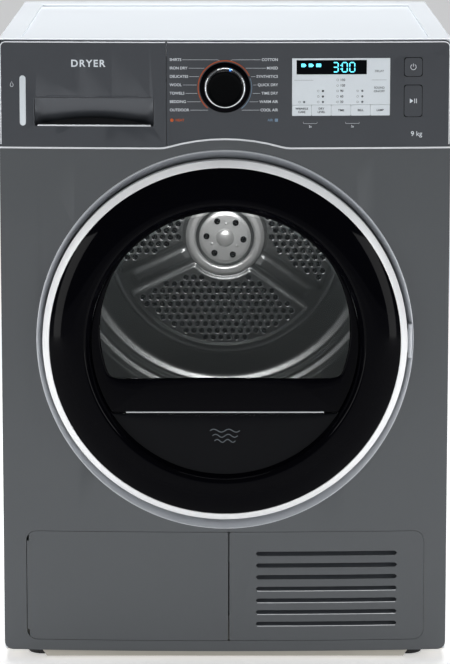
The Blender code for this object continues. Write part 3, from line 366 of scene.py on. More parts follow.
def settle(name, mesh, look, body, replaces, smooth=35):
    """Links a mesh as a finished piece: its material, shading, body and CAD node."""
    mesh.materials.clear()
    mesh.materials.append(finish(look))
    mesh.shade_smooth()
    mesh.set_sharp_from_angle(angle=math.radians(smooth))
    obj = bpy.data.objects.new(name, mesh)
    bpy.context.scene.collection.objects.link(obj)
    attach(obj, body)
    if replaces:
        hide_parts(*replaces)
    return obj


def grid_faces(rows, columns, wrap_rows=False, wrap_columns=False):
    """Quads over a rows x columns grid of points, closed round either way if asked."""
    i, j = np.meshgrid(
        np.arange(rows if wrap_rows else rows - 1),
        np.arange(columns if wrap_columns else columns - 1),
        indexing="ij",
    )
    a = i * columns + j
    b = i * columns + (j + 1) % columns
    c = (i + 1) % rows * columns + (j + 1) % columns
    d = (i + 1) % rows * columns + j
    return np.stack([a, b, c, d], -1).reshape(-1, 4).tolist()


def softened(points, radius, steps=4, closed=True):
    """Rounds every corner of a path by a parabola between points a radius away from it."""
    points = [np.asarray(p, float) for p in points]
    count = len(points)
    result = []
    for index, corner in enumerate(points):
        if not closed and index in (0, count - 1):
            result.append(corner)
            continue
        before, after = points[index - 1], points[(index + 1) % count]
        lead, trail = np.linalg.norm(corner - before), np.linalg.norm(after - corner)
        start = corner + (before - corner) * min(radius / max(lead, 1e-9), 0.45)
        end = corner + (after - corner) * min(radius / max(trail, 1e-9), 0.45)
        for t in np.linspace(0, 1, steps + 1):
            result.append((1 - t) ** 2 * start + 2 * t * (1 - t) * corner + t ** 2 * end)
    return np.array(result)


def revolve(name, profile, look, body, centre=(0.0, None), steps=192, closed=True, **rest):
    """A profile of (radius, depth) turned about a line along Y through the centre."""
    x0, z0 = centre[0], DOOR_Z if centre[1] is None else centre[1]
    profile = np.asarray(profile, float)
    angles = np.linspace(0, 2 * np.pi, steps, endpoint=False)
    radius, depth = profile[:, 0][None, :], profile[:, 1][None, :]
    x = x0 + radius * np.cos(angles)[:, None]
    z = z0 + radius * np.sin(angles)[:, None]
    points = np.stack([x, np.broadcast_to(depth, x.shape), z], -1)
    faces = grid_faces(steps, len(profile), True, closed)
    return piece(name, to_world(points, False), faces, look, body, **rest)


def strip(name, path, width, proud, look, body, lift=0.0, closed=False, bowed=True, **rest):
    """A bead with a half-round section carried along a path of (x, z) on the front.

    Each point of the path gives a half ellipse: width across the path, proud towards
    the front, and a flat back lift millimetres behind the surface."""
    path = np.asarray(path, float)
    ahead = np.roll(path, -1, 0) - path
    behind = path - np.roll(path, 1, 0)
    if not closed:
        ahead[-1] = behind[-1]
        behind[0] = ahead[0]
    unit = lambda v: v / np.maximum(np.linalg.norm(v, axis=1, keepdims=True), 1e-9)
    along = unit(unit(ahead) + unit(behind))
    side = np.stack([-along[:, 1], along[:, 0]], 1)
    turn = np.linspace(0, np.pi, 7)
    across = np.cos(turn) * width / 2
    out = -np.sin(turn) * proud
    across = np.concatenate([across, [-width / 2, width / 2]])
    out = np.concatenate([out, [lift, lift]])
    xz = path[:, None, :] + side[:, None, :] * across[None, :, None]
    points = np.stack([xz[..., 0], np.broadcast_to(out, xz.shape[:2]), xz[..., 1]], -1)
    rows, columns = points.shape[:2]
    faces = grid_faces(rows, columns, closed, True)
    if not closed:
        faces.append(list(range(columns)))
        faces.append([(rows - 1) * columns + k for k in range(columns)][::-1])
    return piece(name, to_world(points, bowed), faces, look, body, **rest)


def arc(x, z, radius, start, end, steps=24):
    """Points on a circle round (x, z), evenly spaced between two angles in degrees."""
    angles = np.radians(np.linspace(start, end, steps + 1))
    return np.stack([x + radius * np.cos(angles), z + radius * np.sin(angles)], 1)


def rectangle(left, right, low, high, radius, steps=6):
    """A closed outline with four quarter-circle corners."""
    corners = [(right - radius, high - radius, 0), (left + radius, high - radius, 90),
               (left + radius, low + radius, 180), (right - radius, low + radius, 270)]
    return np.concatenate([arc(x, z, radius, a, a + 90, steps) for x, z, a in corners])


def pad(name, outline, front, back, look, body, edge=0.3, bowed=True, **rest):
    """A flat plate with a rounded edge: rings of the outline drawn in towards its middle.

    Rings run back edge, front edge, then inwards by the edge radius, closed by a flat face."""
    outline = np.asarray(outline, float)
    middle = outline.mean(0)
    size = np.abs(outline - middle).max(0)
    rings = []
    for inset, depth in ((0, back), (0, front + edge), (edge * 0.3, front + edge * 0.3), (edge, front)):
        shrunk = middle + (outline - middle) * (1 - inset / size)
        rings.append(np.stack([shrunk[:, 0], np.full(len(shrunk), depth), shrunk[:, 1]], 1))
    points = np.concatenate(rings)
    count = len(outline)
    faces = grid_faces(len(rings), count, False, True)
    faces.append(list(range(count))[::-1])
    faces.append([(len(rings) - 1) * count + k for k in range(count)])
    return piece(name, to_world(points, bowed), faces, look, body, **rest)


def lettering(name, text, size, x, z, look, body, align="CENTER", depth=-0.12, bold=0.06, spread=1.0):
    """Generic words or figures as thin raised print on the bowed front."""
    curve = bpy.data.curves.new(name, "FONT")
    curve.body = text
    curve.size = size
    curve.align_x = align
    curve.align_y = "CENTER"
    curve.extrude = 0.08
    curve.offset = bold
    curve.space_character = spread
    carrier = bpy.data.objects.new(name + "_text", curve)
    bpy.context.scene.collection.objects.link(carrier)
    bpy.context.view_layer.update()
    depsgraph = bpy.context.evaluated_depsgraph_get()
    mesh = bpy.data.meshes.new_from_object(carrier.evaluated_get(depsgraph))
    bpy.data.objects.remove(carrier)
    flat = np.empty(len(mesh.vertices) * 3)
    mesh.vertices.foreach_get("co", flat)
    flat = flat.reshape(-1, 3)
    placed = np.stack([flat[:, 0] + x, depth - flat[:, 2], flat[:, 1] + z], 1)
    mesh.vertices.foreach_set("co", to_world(placed).ravel())
    return settle(name, mesh, look, body, ())


def refined(node, look, body, width=0.8, bowed=False, angle=40, segments=3, name=None):
    """A CAD node's surface made finer: curved evenly where the front is bowed, edges rounded."""
    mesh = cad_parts[node].data.copy()
    shape = bmesh.new()
    shape.from_mesh(mesh)
    bmesh.ops.remove_doubles(shape, verts=shape.verts, dist=0.00001)
    if bowed:
        coarse = np.linspace(-HALF, HALF, 13)
        for x in np.linspace(-HALF, HALF, 49)[1:-1]:
            bmesh.ops.bisect_plane(
                shape, geom=shape.verts[:] + shape.edges[:] + shape.faces[:],
                plane_co=(x * MM, 0, 0), plane_no=(1, 0, 0), dist=0.0000001,
            )
        for vert in shape.verts:
            x = vert.co.x / MM
            chord = np.interp(x, coarse, bow_at(coarse))
            vert.co.y += (bow_at(x) - chord) * MM
    bmesh.ops.dissolve_limit(
        shape, angle_limit=math.radians(0.05 if bowed else 0.6), verts=shape.verts, edges=shape.edges
    )
    bmesh.ops.recalc_face_normals(shape, faces=shape.faces)
    shape.to_mesh(mesh)
    shape.free()
    obj = settle(name or node + "_skin", mesh, look, body, (node,), 30)
    if width:
        bevel = obj.modifiers.new("Edges", "BEVEL")
        bevel.width = width * MM
        bevel.segments = segments
        bevel.limit_method = "ANGLE"
        bevel.angle_limit = math.radians(angle)
        bevel.use_clamp_overlap = True
        bevel.harden_normals = True
    return obj


def paint(look, *nodes):
    """Gives CAD nodes that keep their own shape a finished material."""
    for node in nodes:
        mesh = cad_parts[node].data
        mesh.materials.clear()
        mesh.materials.append(finish(look))


# ---- Settings --------------------------------------------------------------------------
class DryerSettings(bpy.types.PropertyGroup):
    front_colour: FloatVectorProperty(
        name="Front colour", description="Paint of the front panel, 0 to 255", default=(81, 84,
            87), size=3
    )
    fascia_colour: FloatVectorProperty(
        name="Fascia colour", description="Finish of the control strip, 0 to 255", default=(69, 72,
            77), size=3
    )
    crest: FloatProperty(
        name="Door crest", description="How far the black door ring stands proud", default=25.0,
            unit="NONE"
    )
    hole_pitch: FloatProperty(
        name="Hole pitch", description="Spacing of the drum back's perforations in millimetres",
            default=11.7
    )
    hole_size: FloatProperty(
        name="Hole size", description="Diameter of the drum back's perforations in millimetres",
            default=9.2
    )
    louvres: IntProperty(name="Louvres", description="Number of slots in the air grille", default=7)


# ---- Cabinet ---------------------------------------------------------------------------
class DRYER_OT_cabinet(bpy.types.Operator):
    """Top, sides, rear, base and feet"""

    bl_idname = "dryer.cabinet"
    bl_label = "Cabinet"

    def execute(self, context):
        refined("top_frame", "white_enamel", "cabinet", 1.8, segments=4)
        refined("top_panel", "white_enamel", "cabinet", 0.8)
        refined("left_side_panel", "white_enamel", "cabinet", 0.4)
        refined("right_side_panel", "white_enamel", "cabinet", 0.4)
        refined("rear_panel", "zinc_sheet", "cabinet", 0.3)
        refined("rear_duct_cover", "zinc_sheet", "cabinet", 2.0)
        refined("base_pan", "base_plastic", "cabinet", 1.0)
        paint("rubber", "cord_gland")
        paint("zinc_sheet", "rear_bearing", "front_bulkhead")
        make_feet()
        make_screws()
        return {"FINISHED"}


def make_feet():
    """Levelling feet: a ribbed pad turned about Z with a threaded stud."""
    for body in ("front_left_foot", "front_right_foot", "rear_left_foot", "rear_right_foot"):
        end, side, _ = body.split("_")
        node = f"foot_{end}_{side}"
        low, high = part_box(node)
        x0, y0 = (low.x + high.x) / 2 / MM, (low.y + high.y) / 2 / MM
        pads = [(0, 0), (17.5, 0), (19.8, 0.8), (20, 3), (19.2, 8.5), (16.5, 11.2), (9, 12), (7, 12)]
        thread = [(4.2 + 0.75 * (k % 2), 12.2 + k * 0.7) for k in range(39)]
        profile = np.array(pads + thread + [(4, 40), (0, 40)])
        angles = np.linspace(0, 2 * np.pi, 48, endpoint=False)
        ribs = 1 - 0.025 * (np.arange(48) % 4 == 0)[:,
            None] * ((profile[:, 1] > 1) & (profile[:, 1] < 11))[None, :]
        radius = profile[:, 0][None, :] * ribs
        points = np.stack([
            x0 + radius * np.cos(angles)[:, None],
            y0 + radius * np.sin(angles)[:, None],
            np.broadcast_to(profile[:, 1], radius.shape),
        ], -1)
        piece(node + "_pad", points * MM, grid_faces(48, len(profile), True), "rubber", body, "rubber",
            (node,), 50)


def screw(name, x, y, z, look="fitting_steel", radius=4.0, head=1.9, facing=1):
    """A pan-head screw with a cross recess, seen along Y; facing 1 looks to the rear."""
    steps = 24
    angles = np.linspace(0, 2 * np.pi, steps, endpoint=False)
    profile = np.array([(1.0, 0.0), (1.0, 0.35), (0.86, 0.78), (0.55, 1.0), (0.3, 1.0), (0.22, 0.45),
        (0.0, 0.45)])
    cross = 1 + 0.5 * (np.abs(np.sin(2 * angles)) < 0.3)[:,
        None] * ((profile[:, 0] > 0.2) & (profile[:, 0] < 0.4))[None, :]
    r = profile[:, 0][None, :] * radius * cross
    points = np.stack([
        x + r * np.cos(angles)[:, None],
        y + facing * np.broadcast_to(profile[:, 1] * head, r.shape),
        z + r * np.sin(angles)[:, None],
    ], -1)
    faces = grid_faces(steps, len(profile), True)
    faces.append([k * len(profile) for k in range(steps)])
    return piece(name, points * MM, faces, look, "cabinet", smooth=40)


def make_screws():
    """Screws round the rear panel and the duct cover."""
    low, high = 30.0, TOP - 40
    spots = [(side * (HALF - 10), z) for side in (-1, 1) for z in np.linspace(low, high, 5)]
    spots += [(x, z) for x in (-150, 0, 150) for z in (low, high)]
    for index, (x, z) in enumerate(spots):
        screw(f"rear_screw_{index}", x, REAR, z)
    for index, (x, z) in enumerate([(sx * 140, DRUM_Z + sz * 140) for sx in (-1, 1) for sz in (-1, 1)]):
        screw(f"duct_screw_{index}", x, CAD_BOX[1][1] / MM, z, head=1.6)


# ---- Front panel, flap and grille ------------------------------------------------------
class DRYER_OT_front(bpy.types.Operator):
    """Front panel, bright strip, service flap and air grille"""

    bl_idname = "dryer.front"
    bl_label = "Front"

    def execute(self, context):
        refined("front_panel", "panel_paint", "cabinet", 0.9, bowed=True)
        refined("service_flap", "flap_paint", "flap", 0.7, bowed=True)
        refined("lower_trim", "bright_strip", "cabinet", 0.5, bowed=True)
        refined("air_grille", "flap_paint", "cabinet", 0.6, bowed=True)
        make_louvres(context.scene.dryer.louvres)
        return {"FINISHED"}


def make_louvres(count):
    """Slanted blades behind the grille's slots, each with a rolled lower lip; the lower four lips are
    painted bright as a painted reflection of the floor.

    A blade's section climbs from the slot's foot at the front to its top at the rear."""
    left, right, pitch, height, top = 42.0, 233.0, 16.3, 6.0, 154.0
    xs = np.linspace(left - 1, right + 1, 25)
    for index in range(count):
        high = top - index * pitch
        low = high - height
        section = [(2.0, low - 2.0), (3.6, low - 1.2), (9.0, high + 2.4), (10.6, high + 2.4),
            (4.4, low - 3.4)]
        points = np.array([[(x, depth, z) for depth, z in section] for x in xs])
        faces = grid_faces(len(xs), len(section), False, True)
        faces.append(list(range(len(section))))
        faces.append([(len(xs) - 1) * len(section) + k for k in range(len(section))][::-1])
        piece(f"louvre_{index + 1}", to_world(points), faces, "fascia_paint", "cabinet", smooth=30)
        lip = np.stack([np.linspace(left + 1.5, right - 1.5, 40), np.full(40, low - 0.1)], 1)
        # The lower four lips are painted bright: a painted reflection of the floor along their edges.
        look = "bright_strip" if index > 2 else "flap_paint"
        strip(f"louvre_lip_{index + 1}", lip, 0.8, 0.25, look, "cabinet", lift=1.2)


# ---- Door ------------------------------------------------------------------------------
class DRYER_OT_door(bpy.types.Operator):
    """Surround, ring, black cover, window, bowl and seal"""

    bl_idname = "dryer.door"
    bl_label = "Door"

    def execute(self, context):
        make_surround()
        make_ring()
        make_cover(context.scene.dryer.crest)
        make_window()
        make_door_inside()
        paint("fitting_steel", "door_hook")
        paint("dish_silver", "hinge_arm", "hinge_plate")
        paint("dark_plastic", "door_lock")
        return {"FINISHED"}


def make_surround():
    """The dish round the door: a cone whose front edge follows the bowed panel.

    At each angle the edge radius solves r = R - slope * bow(r cos a) by repetition."""
    rim, slope, pocket, floor_depth = RING_R + 11.5, 2 / 3, RING_R + 1.5, 24.0
    steps = 288
    angles = np.linspace(0, 2 * np.pi, steps, endpoint=False)
    radius = np.full(steps, rim)
    for _ in range(8):
        radius = rim - slope * bow_at(radius * np.cos(angles))
    edge = bow_at(radius * np.cos(angles))
    flange = PANE_R + 3.3
    knee = (rim - pocket) / slope
    still = np.zeros(steps)
    rows = [
        (radius + 2.2, edge + 0.7), (radius + 2.1, edge - 0.1), (radius + 1.4, edge - 0.5),
        (radius + 0.6, edge - 0.4), (radius, edge + 0.1),
        (still + pocket + 0.4, still + knee - 0.6), (still + pocket, still + knee + 0.8),
        (still + pocket, still + floor_depth - 2), (still + pocket - 2, still + floor_depth),
        (still + flange, still + floor_depth), (still + flange, still + floor_depth + 2.4),
        (still + pocket + 1.9, still + floor_depth + 2.4), (still + pocket + 2.0, still + knee + 0.3),
    ]
    points = np.stack([
        np.stack([r * np.cos(angles), depth, DOOR_Z + r * np.sin(angles)], -1) for r, depth in rows
    ], 1)
    piece(
        "door_dish", to_world(points, False), grid_faces(steps, len(rows), True, True),
        "dish_silver", "cabinet", "door_silver", ("door_surround",), 40,
    )


def make_ring():
    """The pale bezel: a thin conical face between the black cover and the dish."""
    back = 17.7
    profile = softened([
        (RING_R, -3.2), (RING_R, back), (RING_R - 2.5, back), (RING_R - 2.5, -1.4),
        (COVER_R + 0.3, -7.4), (COVER_R + 0.3, -9.8), (COVER_R + 1.2, -10.2),
    ], 0.7)
    revolve("door_bezel", profile, "bezel_white", "door", steps=288, slot="white_bezel",
        replaces=("door_ring",))


def make_cover(crest):
    """The glossy black ring: it swells from the bezel to a crest and drops to the window.

    Outside the crest p = edge + (crest - edge) * (1 - t ** 2.2), and inside it the drop
    is s ** 1.7 of the way down to the window's step."""
    inner, crest_r, edge, step = PANE_R + 0.3, PANE_R + 10.3, 9.2, 13.6
    t = np.linspace(1, 0, 26)
    outside = np.stack([crest_r + (COVER_R - crest_r) * t, -(edge + (crest - edge) * (1 - t ** 2.2))], 1)
    s = np.linspace(0, 1, 14)[1:]
    inside = np.stack([crest_r - (crest_r - inner) * s, -(crest - (crest - step) * s ** 1.7)], 1)
    back = [(inner, 17.7), (inner + 3, 17.7), (inner + 3, -12.0), (crest_r, -21.0), (crest_r + 20, -18.5),
        (COVER_R - 1.2, -6.6)]
    profile = np.concatenate([outside, inside, back])
    revolve("door_black_ring", profile, "piano_black", "door", steps=288, slot="gloss_black",
        replaces=("door_cover",))


WINDOW_Z = 16.6       # the clear window's centre above the door's centre
WINDOW_R = 168.5
WINDOW_FLAT = -49.8   # its flat lower edge, from the door's centre
SILL = -95.0          # the fold above the lower crescent


def ray_reach(angles, centre_z, radius, flat, blend):
    """Distance from the window's centre to a circle closed by a level line below.

    The smaller of the two distances, blended over a soft corner."""
    dz = np.sin(angles)
    offset = centre_z - WINDOW_Z
    along = dz * offset
    circle = along + np.sqrt(radius ** 2 - offset ** 2 + along ** 2)
    line = np.where(dz < -1e-3, (flat - WINDOW_Z) / np.minimum(dz, -1e-3), 1e5)
    if not blend:
        return np.minimum(circle, line)
    near = np.minimum(line, 2000.0)
    soft = -blend * np.log(np.exp(-circle / blend) + np.exp(-near / blend))
    return soft


def make_window():
    """Tinted pane, its black frame with a flat-bottomed opening, a painted highlight along the sill fold,
    and the crescent.
    """
    pane = PANE_R
    disc = [(0, -9.0), (pane - 6, -9.0), (pane - 6, -11.0), (0, -11.0)]
    revolve("window_pane", disc, "tinted_pane", "door", steps=144, closed=False, slot="smoked_glass",
        replaces=("door_window",))

    corner = math.atan2(SILL - WINDOW_Z, math.sqrt(pane ** 2 - SILL ** 2))
    angles = np.sort(np.append(np.linspace(0, 2 * np.pi, 359, endpoint=False),
        [corner + 2 * np.pi, np.pi - corner]))
    inner = ray_reach(angles, WINDOW_Z, WINDOW_R, WINDOW_FLAT, 7.0)
    outer = ray_reach(angles, 0.0, pane, SILL, 0)
    rows = [
        (inner - 1.6, -8.8), (inner - 1.4, -10.6), (inner - 0.6, -12.2), (inner + 0.8,
            -13.0), (inner + 2.5, -13.2),
        (outer - 2.4, -13.4), (outer - 0.9, -13.1), (outer, -12.2), (outer, -8.8),
    ]
    points = np.stack([
        np.stack([r * np.cos(angles), np.full(len(angles), d), DOOR_Z + WINDOW_Z + r * np.sin(angles)],
            -1)
        for r, d in rows
    ], 1)
    piece(
        "window_frame", to_world(points, False), grid_faces(len(angles), len(rows), True, True),
        "piano_black", "door", "gloss_black", smooth=50,
    )

    # A bright strip on the sill fold: a painted highlight where the fold catches the light.
    reach = math.sqrt(pane ** 2 - SILL ** 2)
    sill = np.stack([np.linspace(-reach + 20, reach - 20, 40), np.full(40, DOOR_Z + SILL + 0.4)], 1)
    strip("window_sill_highlight", sill, 2.0, 1.4, "bright_strip", "door", lift=1.0, bowed=False,
        slot="bright_trim")
    shift_depth("window_sill_highlight", -12.6)

    u = np.linspace(-1, 1, 73)
    v = np.linspace(0, 1, 19)
    x = np.sin(u * np.pi / 2) * (reach - 0.4)
    bottom = -np.sqrt(np.maximum((pane - 0.2) ** 2 - x ** 2, 0))
    z = SILL - 0.8 + (bottom - SILL + 0.8)[:, None] * v[None, :]
    dish = 3.2 * np.exp(-(v * 14)) + 0.4
    front = np.stack([np.broadcast_to(x[:, None], z.shape), -13.0 + np.broadcast_to(dish, z.shape),
        DOOR_Z + z], -1)
    back = front.copy()
    back[..., 1] = -8.8
    rows, columns = z.shape
    faces = grid_faces(rows, columns)
    count = rows * columns
    faces += [[count + k for k in face[::-1]] for face in grid_faces(rows, columns)]
    rim = [i * columns for i in range(rows)] + [(rows - 1) * columns + j for j in range(1, columns)]
    rim += [i * columns + columns - 1 for i in range(rows - 2, -1, -1)] + [j for j in range(columns - 2,
        0, -1)]
    faces += [[a, b, b + count, a + count] for a, b in zip(rim, rim[1:] + rim[:1])]
    piece("window_crescent", to_world(np.concatenate([front.reshape(-1, 3), back.reshape(-1, 3)]), False),
        faces, "satin_black", "door", "gloss_black", smooth=40)

    for index in range(3):
        z0 = DOOR_Z - 120 - index * 7
        t = np.linspace(-1, 1, 41)
        wave = np.stack([t * (20 - 3 * index), z0 + 2.0 * np.sin(t * 2 * np.pi)], 1)
        name = f"heat_wave_{index + 1}"
        strip(name, wave, 1.1, 0.15, "ink_grey", "door", lift=0.2, bowed=False)
        shift_depth(name, -12.7)


def shift_depth(name, depth):
    """Moves a finished front piece to a depth before or behind the crown."""
    bpy.data.objects[name].data.transform(Matrix.Translation((0, depth * MM, 0)))


def make_door_inside():
    """The liner, glass bowl and lipped rubber seal on the door's inner side."""
    pane = PANE_R
    mouth = pane - 4.7
    opening = pane - 0.2
    liner = softened([
        (opening, 18.0), (RING_R, 18.0), (RING_R, 20.5), (RING_R - 6, 20.5), (RING_R - 8, 19.6),
        (pane + 16, 19.6), (pane + 14, 20.5), (opening, 20.5),
    ], 0.5)
    revolve("door_liner_skin", liner, "grey_plastic", "door", slot="grey_plastic",
        replaces=("door_liner",))
    bowl = softened([
        (0, 75), (mouth - 50, 75), (mouth - 32, 71), (mouth - 20, 58), (mouth - 7, 34), (mouth, 18.5),
        (pane - 0.4, 17.7), (pane - 0.4, 14.5), (mouth - 3.5, 14.5), (mouth - 10.5, 33), (mouth - 24, 56),
        (mouth - 35, 67.5), (mouth - 51, 71), (0, 71),
    ], 6, closed=False)
    revolve("door_glass_bowl", bowl, "bowl_glass", "door", closed=False, slot="clear_glass",
        replaces=("door_bowl",))
    flange = pane + 3.3
    seal = softened([
        (flange + 3, 20.8), (flange + 11, 20.8), (flange + 10.5, 22.2), (flange + 8.6, 22.6),
        (flange + 8.8, 23.7), (flange + 6.0, 23.7), (flange + 5, 22.4), (flange + 3, 22.2),
    ], 0.4)
    revolve("door_seal_lip", seal, "rubber", "door", slot="rubber", replaces=("door_seal",))


# ---- Drum ------------------------------------------------------------------------------
class DRYER_OT_drum(bpy.types.Operator):
    """Drum shell, its pressed back with hub, spokes and perforations, and lifters"""

    bl_idname = "dryer.drum"
    bl_label = "Drum"

    def execute(self, context):
        settings = context.scene.dryer
        make_shell()
        make_back()
        make_perforations(settings.hole_pitch, settings.hole_size)
        make_hub()
        refined("lifter_left", "grey_plastic", "drum", 5.0, segments=5)
        refined("lifter_right", "grey_plastic", "drum", 5.0, segments=5)
        paint("fitting_steel", "drum_shaft")
        return {"FINISHED"}


SPOKES = (85.0, 205.0, 325.0)


def make_shell():
    """The rolled stainless shell with a rolled front lip and three stiffening beads."""
    low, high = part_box("drum_shell")
    front, rear = (low.y - CROWN) / MM, (high.y - CROWN) / MM
    outer = (high.x - low.x) / 2 / MM - 0.4
    mouth = outer - 37.6
    bead = lambda depth, lift: lift * sum(math.exp(-((depth - c) / 4.0) ** 2) for c in (front + 90,
        front + 215, front + 340))
    along = np.linspace(front + 4, rear, 130)
    outside = [(outer - bead(d, 1.6), d) for d in along]
    inside = [(outer - 1.2 - bead(d, 1.6), d) for d in along[::-1]]
    lip = [(outer - 3, front + 1.8), (mouth + 3, front + 1.8), (mouth, front + 1.4), (mouth, front),
        (outer - 3, front), (outer - 0.6, front + 1)]
    profile = outside + inside + lip
    revolve("drum_shell_skin", profile, "drum_steel", "drum", (0.0, DRUM_Z), 144, slot="stainless",
        replaces=("drum_shell",))


def back_height(r, angle):
    """How far the pressed back stands forward of its plate, in millimetres.

    A raised hub plate and ring, three channels from the hub, recessed sectors, then
    round ridges: each is a smooth step or a bell of the radius or of the distance
    across a channel."""
    step = lambda value, at, soft: 1 / (1 + np.exp(-(value - at) / soft))
    bell = lambda value, at, wide: np.exp(-(((value - at) / wide) ** 2))
    height = 6.0 * (1 - step(r, 41.5, 0.6)) + 4.6 * bell(r, 50.6, 4.6)
    across = np.min([
        np.where(np.cos(angle - math.radians(s)) > 0, np.abs(r * np.sin(angle - math.radians(s))), 1e3)
        for s in SPOKES
    ], axis=0)
    sector = step(across, 18.5, 0.8) * step(r, 61.0, 0.8) * (1 - step(r, 163, 0.9))
    ridge = (1 - step(across, 8.5, 0.7)) * step(r, 64, 1.5) * (1 - step(r, 150, 1.5))
    height = height + 4.2 * sector + 2.6 * ridge
    height = height + 1.1 * bell(r, 175, 1.3) + 6.5 * bell(r, 222, 7.0) + 6.0 * bell(r, 243, 5.0)
    return height


def make_back():
    """The pressed stainless back as a height over radius and angle."""
    edge = (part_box("drum_back")[1].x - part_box("drum_back")[0].x) / 2 / MM - 0.2
    radii = np.unique(np.concatenate([np.linspace(0.5, 60, 45), np.linspace(60, 185, 70),
        np.linspace(185, edge, 45)]))
    angles = np.linspace(0, 2 * np.pi, 300, endpoint=False)
    r, a = np.meshgrid(radii, angles)
    height = back_height(r, a)
    front = np.stack([r * np.cos(a), BACK_DEPTH - height, DRUM_Z + r * np.sin(a)], -1)
    rim = front[:, -1:, :].copy()
    rim[..., 1] = BACK_DEPTH + 2.8
    centre_back = np.stack([0.5 * np.cos(angles), np.full(300, BACK_DEPTH + 2.8),
        DRUM_Z + 0.5 * np.sin(angles)], -1)
    points = np.concatenate([front, rim, centre_back[:, None, :]], 1)
    columns = points.shape[1]
    faces = grid_faces(300, columns, True, False)
    faces.append([k * columns for k in range(300)])
    faces.append([k * columns + columns - 1 for k in range(300)][::-1])
    piece("drum_back_pressing", to_world(points, False), faces, "drum_steel", "drum", "stainless",
        ("drum_back",), 60)


def make_perforations(pitch, size):
    """Round holes in a hexagonal lattice over the three sectors between the channels.

    Each hole is a rolled rim round a dark disc of painted shade for the dark seen through it, and all of
    a sector's holes are one piece."""
    rows = np.arange(-20, 21)
    i, j = np.meshgrid(rows, rows)
    level = BACK_DEPTH - 4.2
    for index, middle in enumerate((265.0, 25.0, 145.0)):
        turn = math.radians(middle - 265.0)
        x = (i + 0.5 * (j % 2)) * pitch
        z = j * pitch * math.sqrt(3) / 2
        lattice = np.stack([x.ravel(), z.ravel()], 1)
        spin = np.array([[math.cos(turn), -math.sin(turn)], [math.sin(turn), math.cos(turn)]])
        lattice = lattice @ spin.T
        r = np.hypot(lattice[:, 0], lattice[:, 1])
        a = np.arctan2(lattice[:, 1], lattice[:, 0])
        across = np.min([
            np.where(np.cos(a - math.radians(s)) > 0, np.abs(r * np.sin(a - math.radians(s))),
                1e3) for s in SPOKES
        ], axis=0)
        off_middle = np.abs((np.degrees(a) - middle + 180) % 360 - 180)
        keep = (r > 67.5) & (r < 156.5) & (across > 25.5) & (off_middle < 60)
        chosen = lattice[keep]
        steps = 16
        t = np.linspace(0, 2 * np.pi, steps, endpoint=False)
        rings = [(size / 2 + 1.0, 0.1), (size / 2 + 0.5, -0.9), (size / 2, -0.8), (size / 2 - 0.6, 0.05)]
        parts = []
        for radius, depth in rings:
            parts.append(np.stack([
                chosen[:, 0, None] + radius * np.cos(t), np.full((len(chosen), steps), level + depth),
                DRUM_Z + chosen[:, 1, None] + radius * np.sin(t),
            ], -1))
        points = np.stack(parts, 1)
        cell = grid_faces(len(rings), steps, False, True)
        cell.append([3 * steps + k for k in range(steps)])
        stride = len(rings) * steps
        faces = (np.arange(len(chosen))[:, None, None] * stride + np.array(cell[:-1])[None]).reshape(-1,
            4).tolist()
        shade_discs = [[n * stride + k for k in cell[-1]] for n in range(len(chosen))]
        piece(f"hole_rims_{index + 1}", to_world(points, False), faces, "drum_steel", "drum", "stainless",
            smooth=60, flip_free=True)
        # Dark discs just behind each rim: painted shade standing in for the dark seen through the holes.
        shade_disc_points = np.stack([
            chosen[:, 0, None] + (size / 2 - 0.3) * np.cos(t), np.full((len(chosen), steps),
                level - 0.25),
            DRUM_Z + chosen[:, 1, None] + (size / 2 - 0.3) * np.sin(t),
        ], -1)
        shade_discs = [[n * steps + k for k in range(steps)] for n in range(len(chosen))]
        piece(f"hole_shade_discs_{index + 1}", to_world(shade_disc_points, False), shade_discs, "hole_dark", "drum",
            flip_free=True)


def make_hub():
    """Hub plate, dome, six screws and three rivets in the middle of the back."""
    face = BACK_DEPTH - 7.0
    plate = softened([(0, face - 2.6), (34, face - 2.6), (38.8, face - 1.4), (38.8, face + 0.6),
        (0, face + 0.6)], 1.2, closed=False)
    revolve("hub_plate", plate, "hub_steel", "drum", (0.0, DRUM_Z), 96, False, slot="stainless")
    front = face - 2.6
    level = BACK_DEPTH
    crown = softened([(43.6, level + 0.5), (43.8, level - 3.6), (46.5, level - 6.4), (54.0, level - 6.4),
        (58.0, level - 2.4), (59.5, level + 0.5)], 2.2)
    revolve("hub_ring", crown, "hub_steel", "drum", (0.0, DRUM_Z), 120, slot="stainless")
    t = np.linspace(0, np.pi / 2, 10)
    dome = np.stack([13.4 * np.sin(t), front - 5.5 * np.cos(t)], 1)
    revolve("hub_dome", np.concatenate([dome, [(13.4, front + 0.5), (0, front + 0.5)]]), "hub_steel",
        "drum", (0.0, DRUM_Z), 48, False)
    for index in range(6):
        a = math.radians(60 * index - 5)
        spot = (27.7 * math.cos(a), DRUM_Z + 27.7 * math.sin(a))
        head = [(0, front - 1.0), (1.6, front - 1.0), (2.0, front - 2.6), (3.9, front - 2.6),
            (4.7, front - 1.6), (4.7, front + 0.4), (0, front + 0.4)]
        revolve(f"hub_screw_{index + 1}", head, "hole_dark", "drum", spot, 24, False)
    for index, angle in enumerate(SPOKES):
        a = math.radians(angle)
        spot = (21.7 * math.cos(a), DRUM_Z + 21.7 * math.sin(a))
        head = [(0, front - 1.4), (1.6, front - 1.1), (2.3, front - 0.4), (2.4, front + 0.3),
            (0, front + 0.3)]
        revolve(f"hub_rivet_{index + 1}", head, "hub_steel", "drum", spot, 20, False)


# ---- Controls --------------------------------------------------------------------------
class DRYER_OT_controls(bpy.types.Operator):
    """Fascia, drawer front, knob and dial, display, keys and buttons"""

    bl_idname = "dryer.controls"
    bl_label = "Controls"

    def execute(self, context):
        refined("control_fascia", "fascia_paint", "cabinet", 0.8, bowed=True)
        refined("drawer_front", "fascia_paint", "drawer", 0.8, bowed=True)
        make_edge_strips()
        make_drawer_details()
        make_knob()
        make_dial_print()
        make_display()
        make_keys()
        paint("board_green", "control_board")
        return {"FINISHED"}


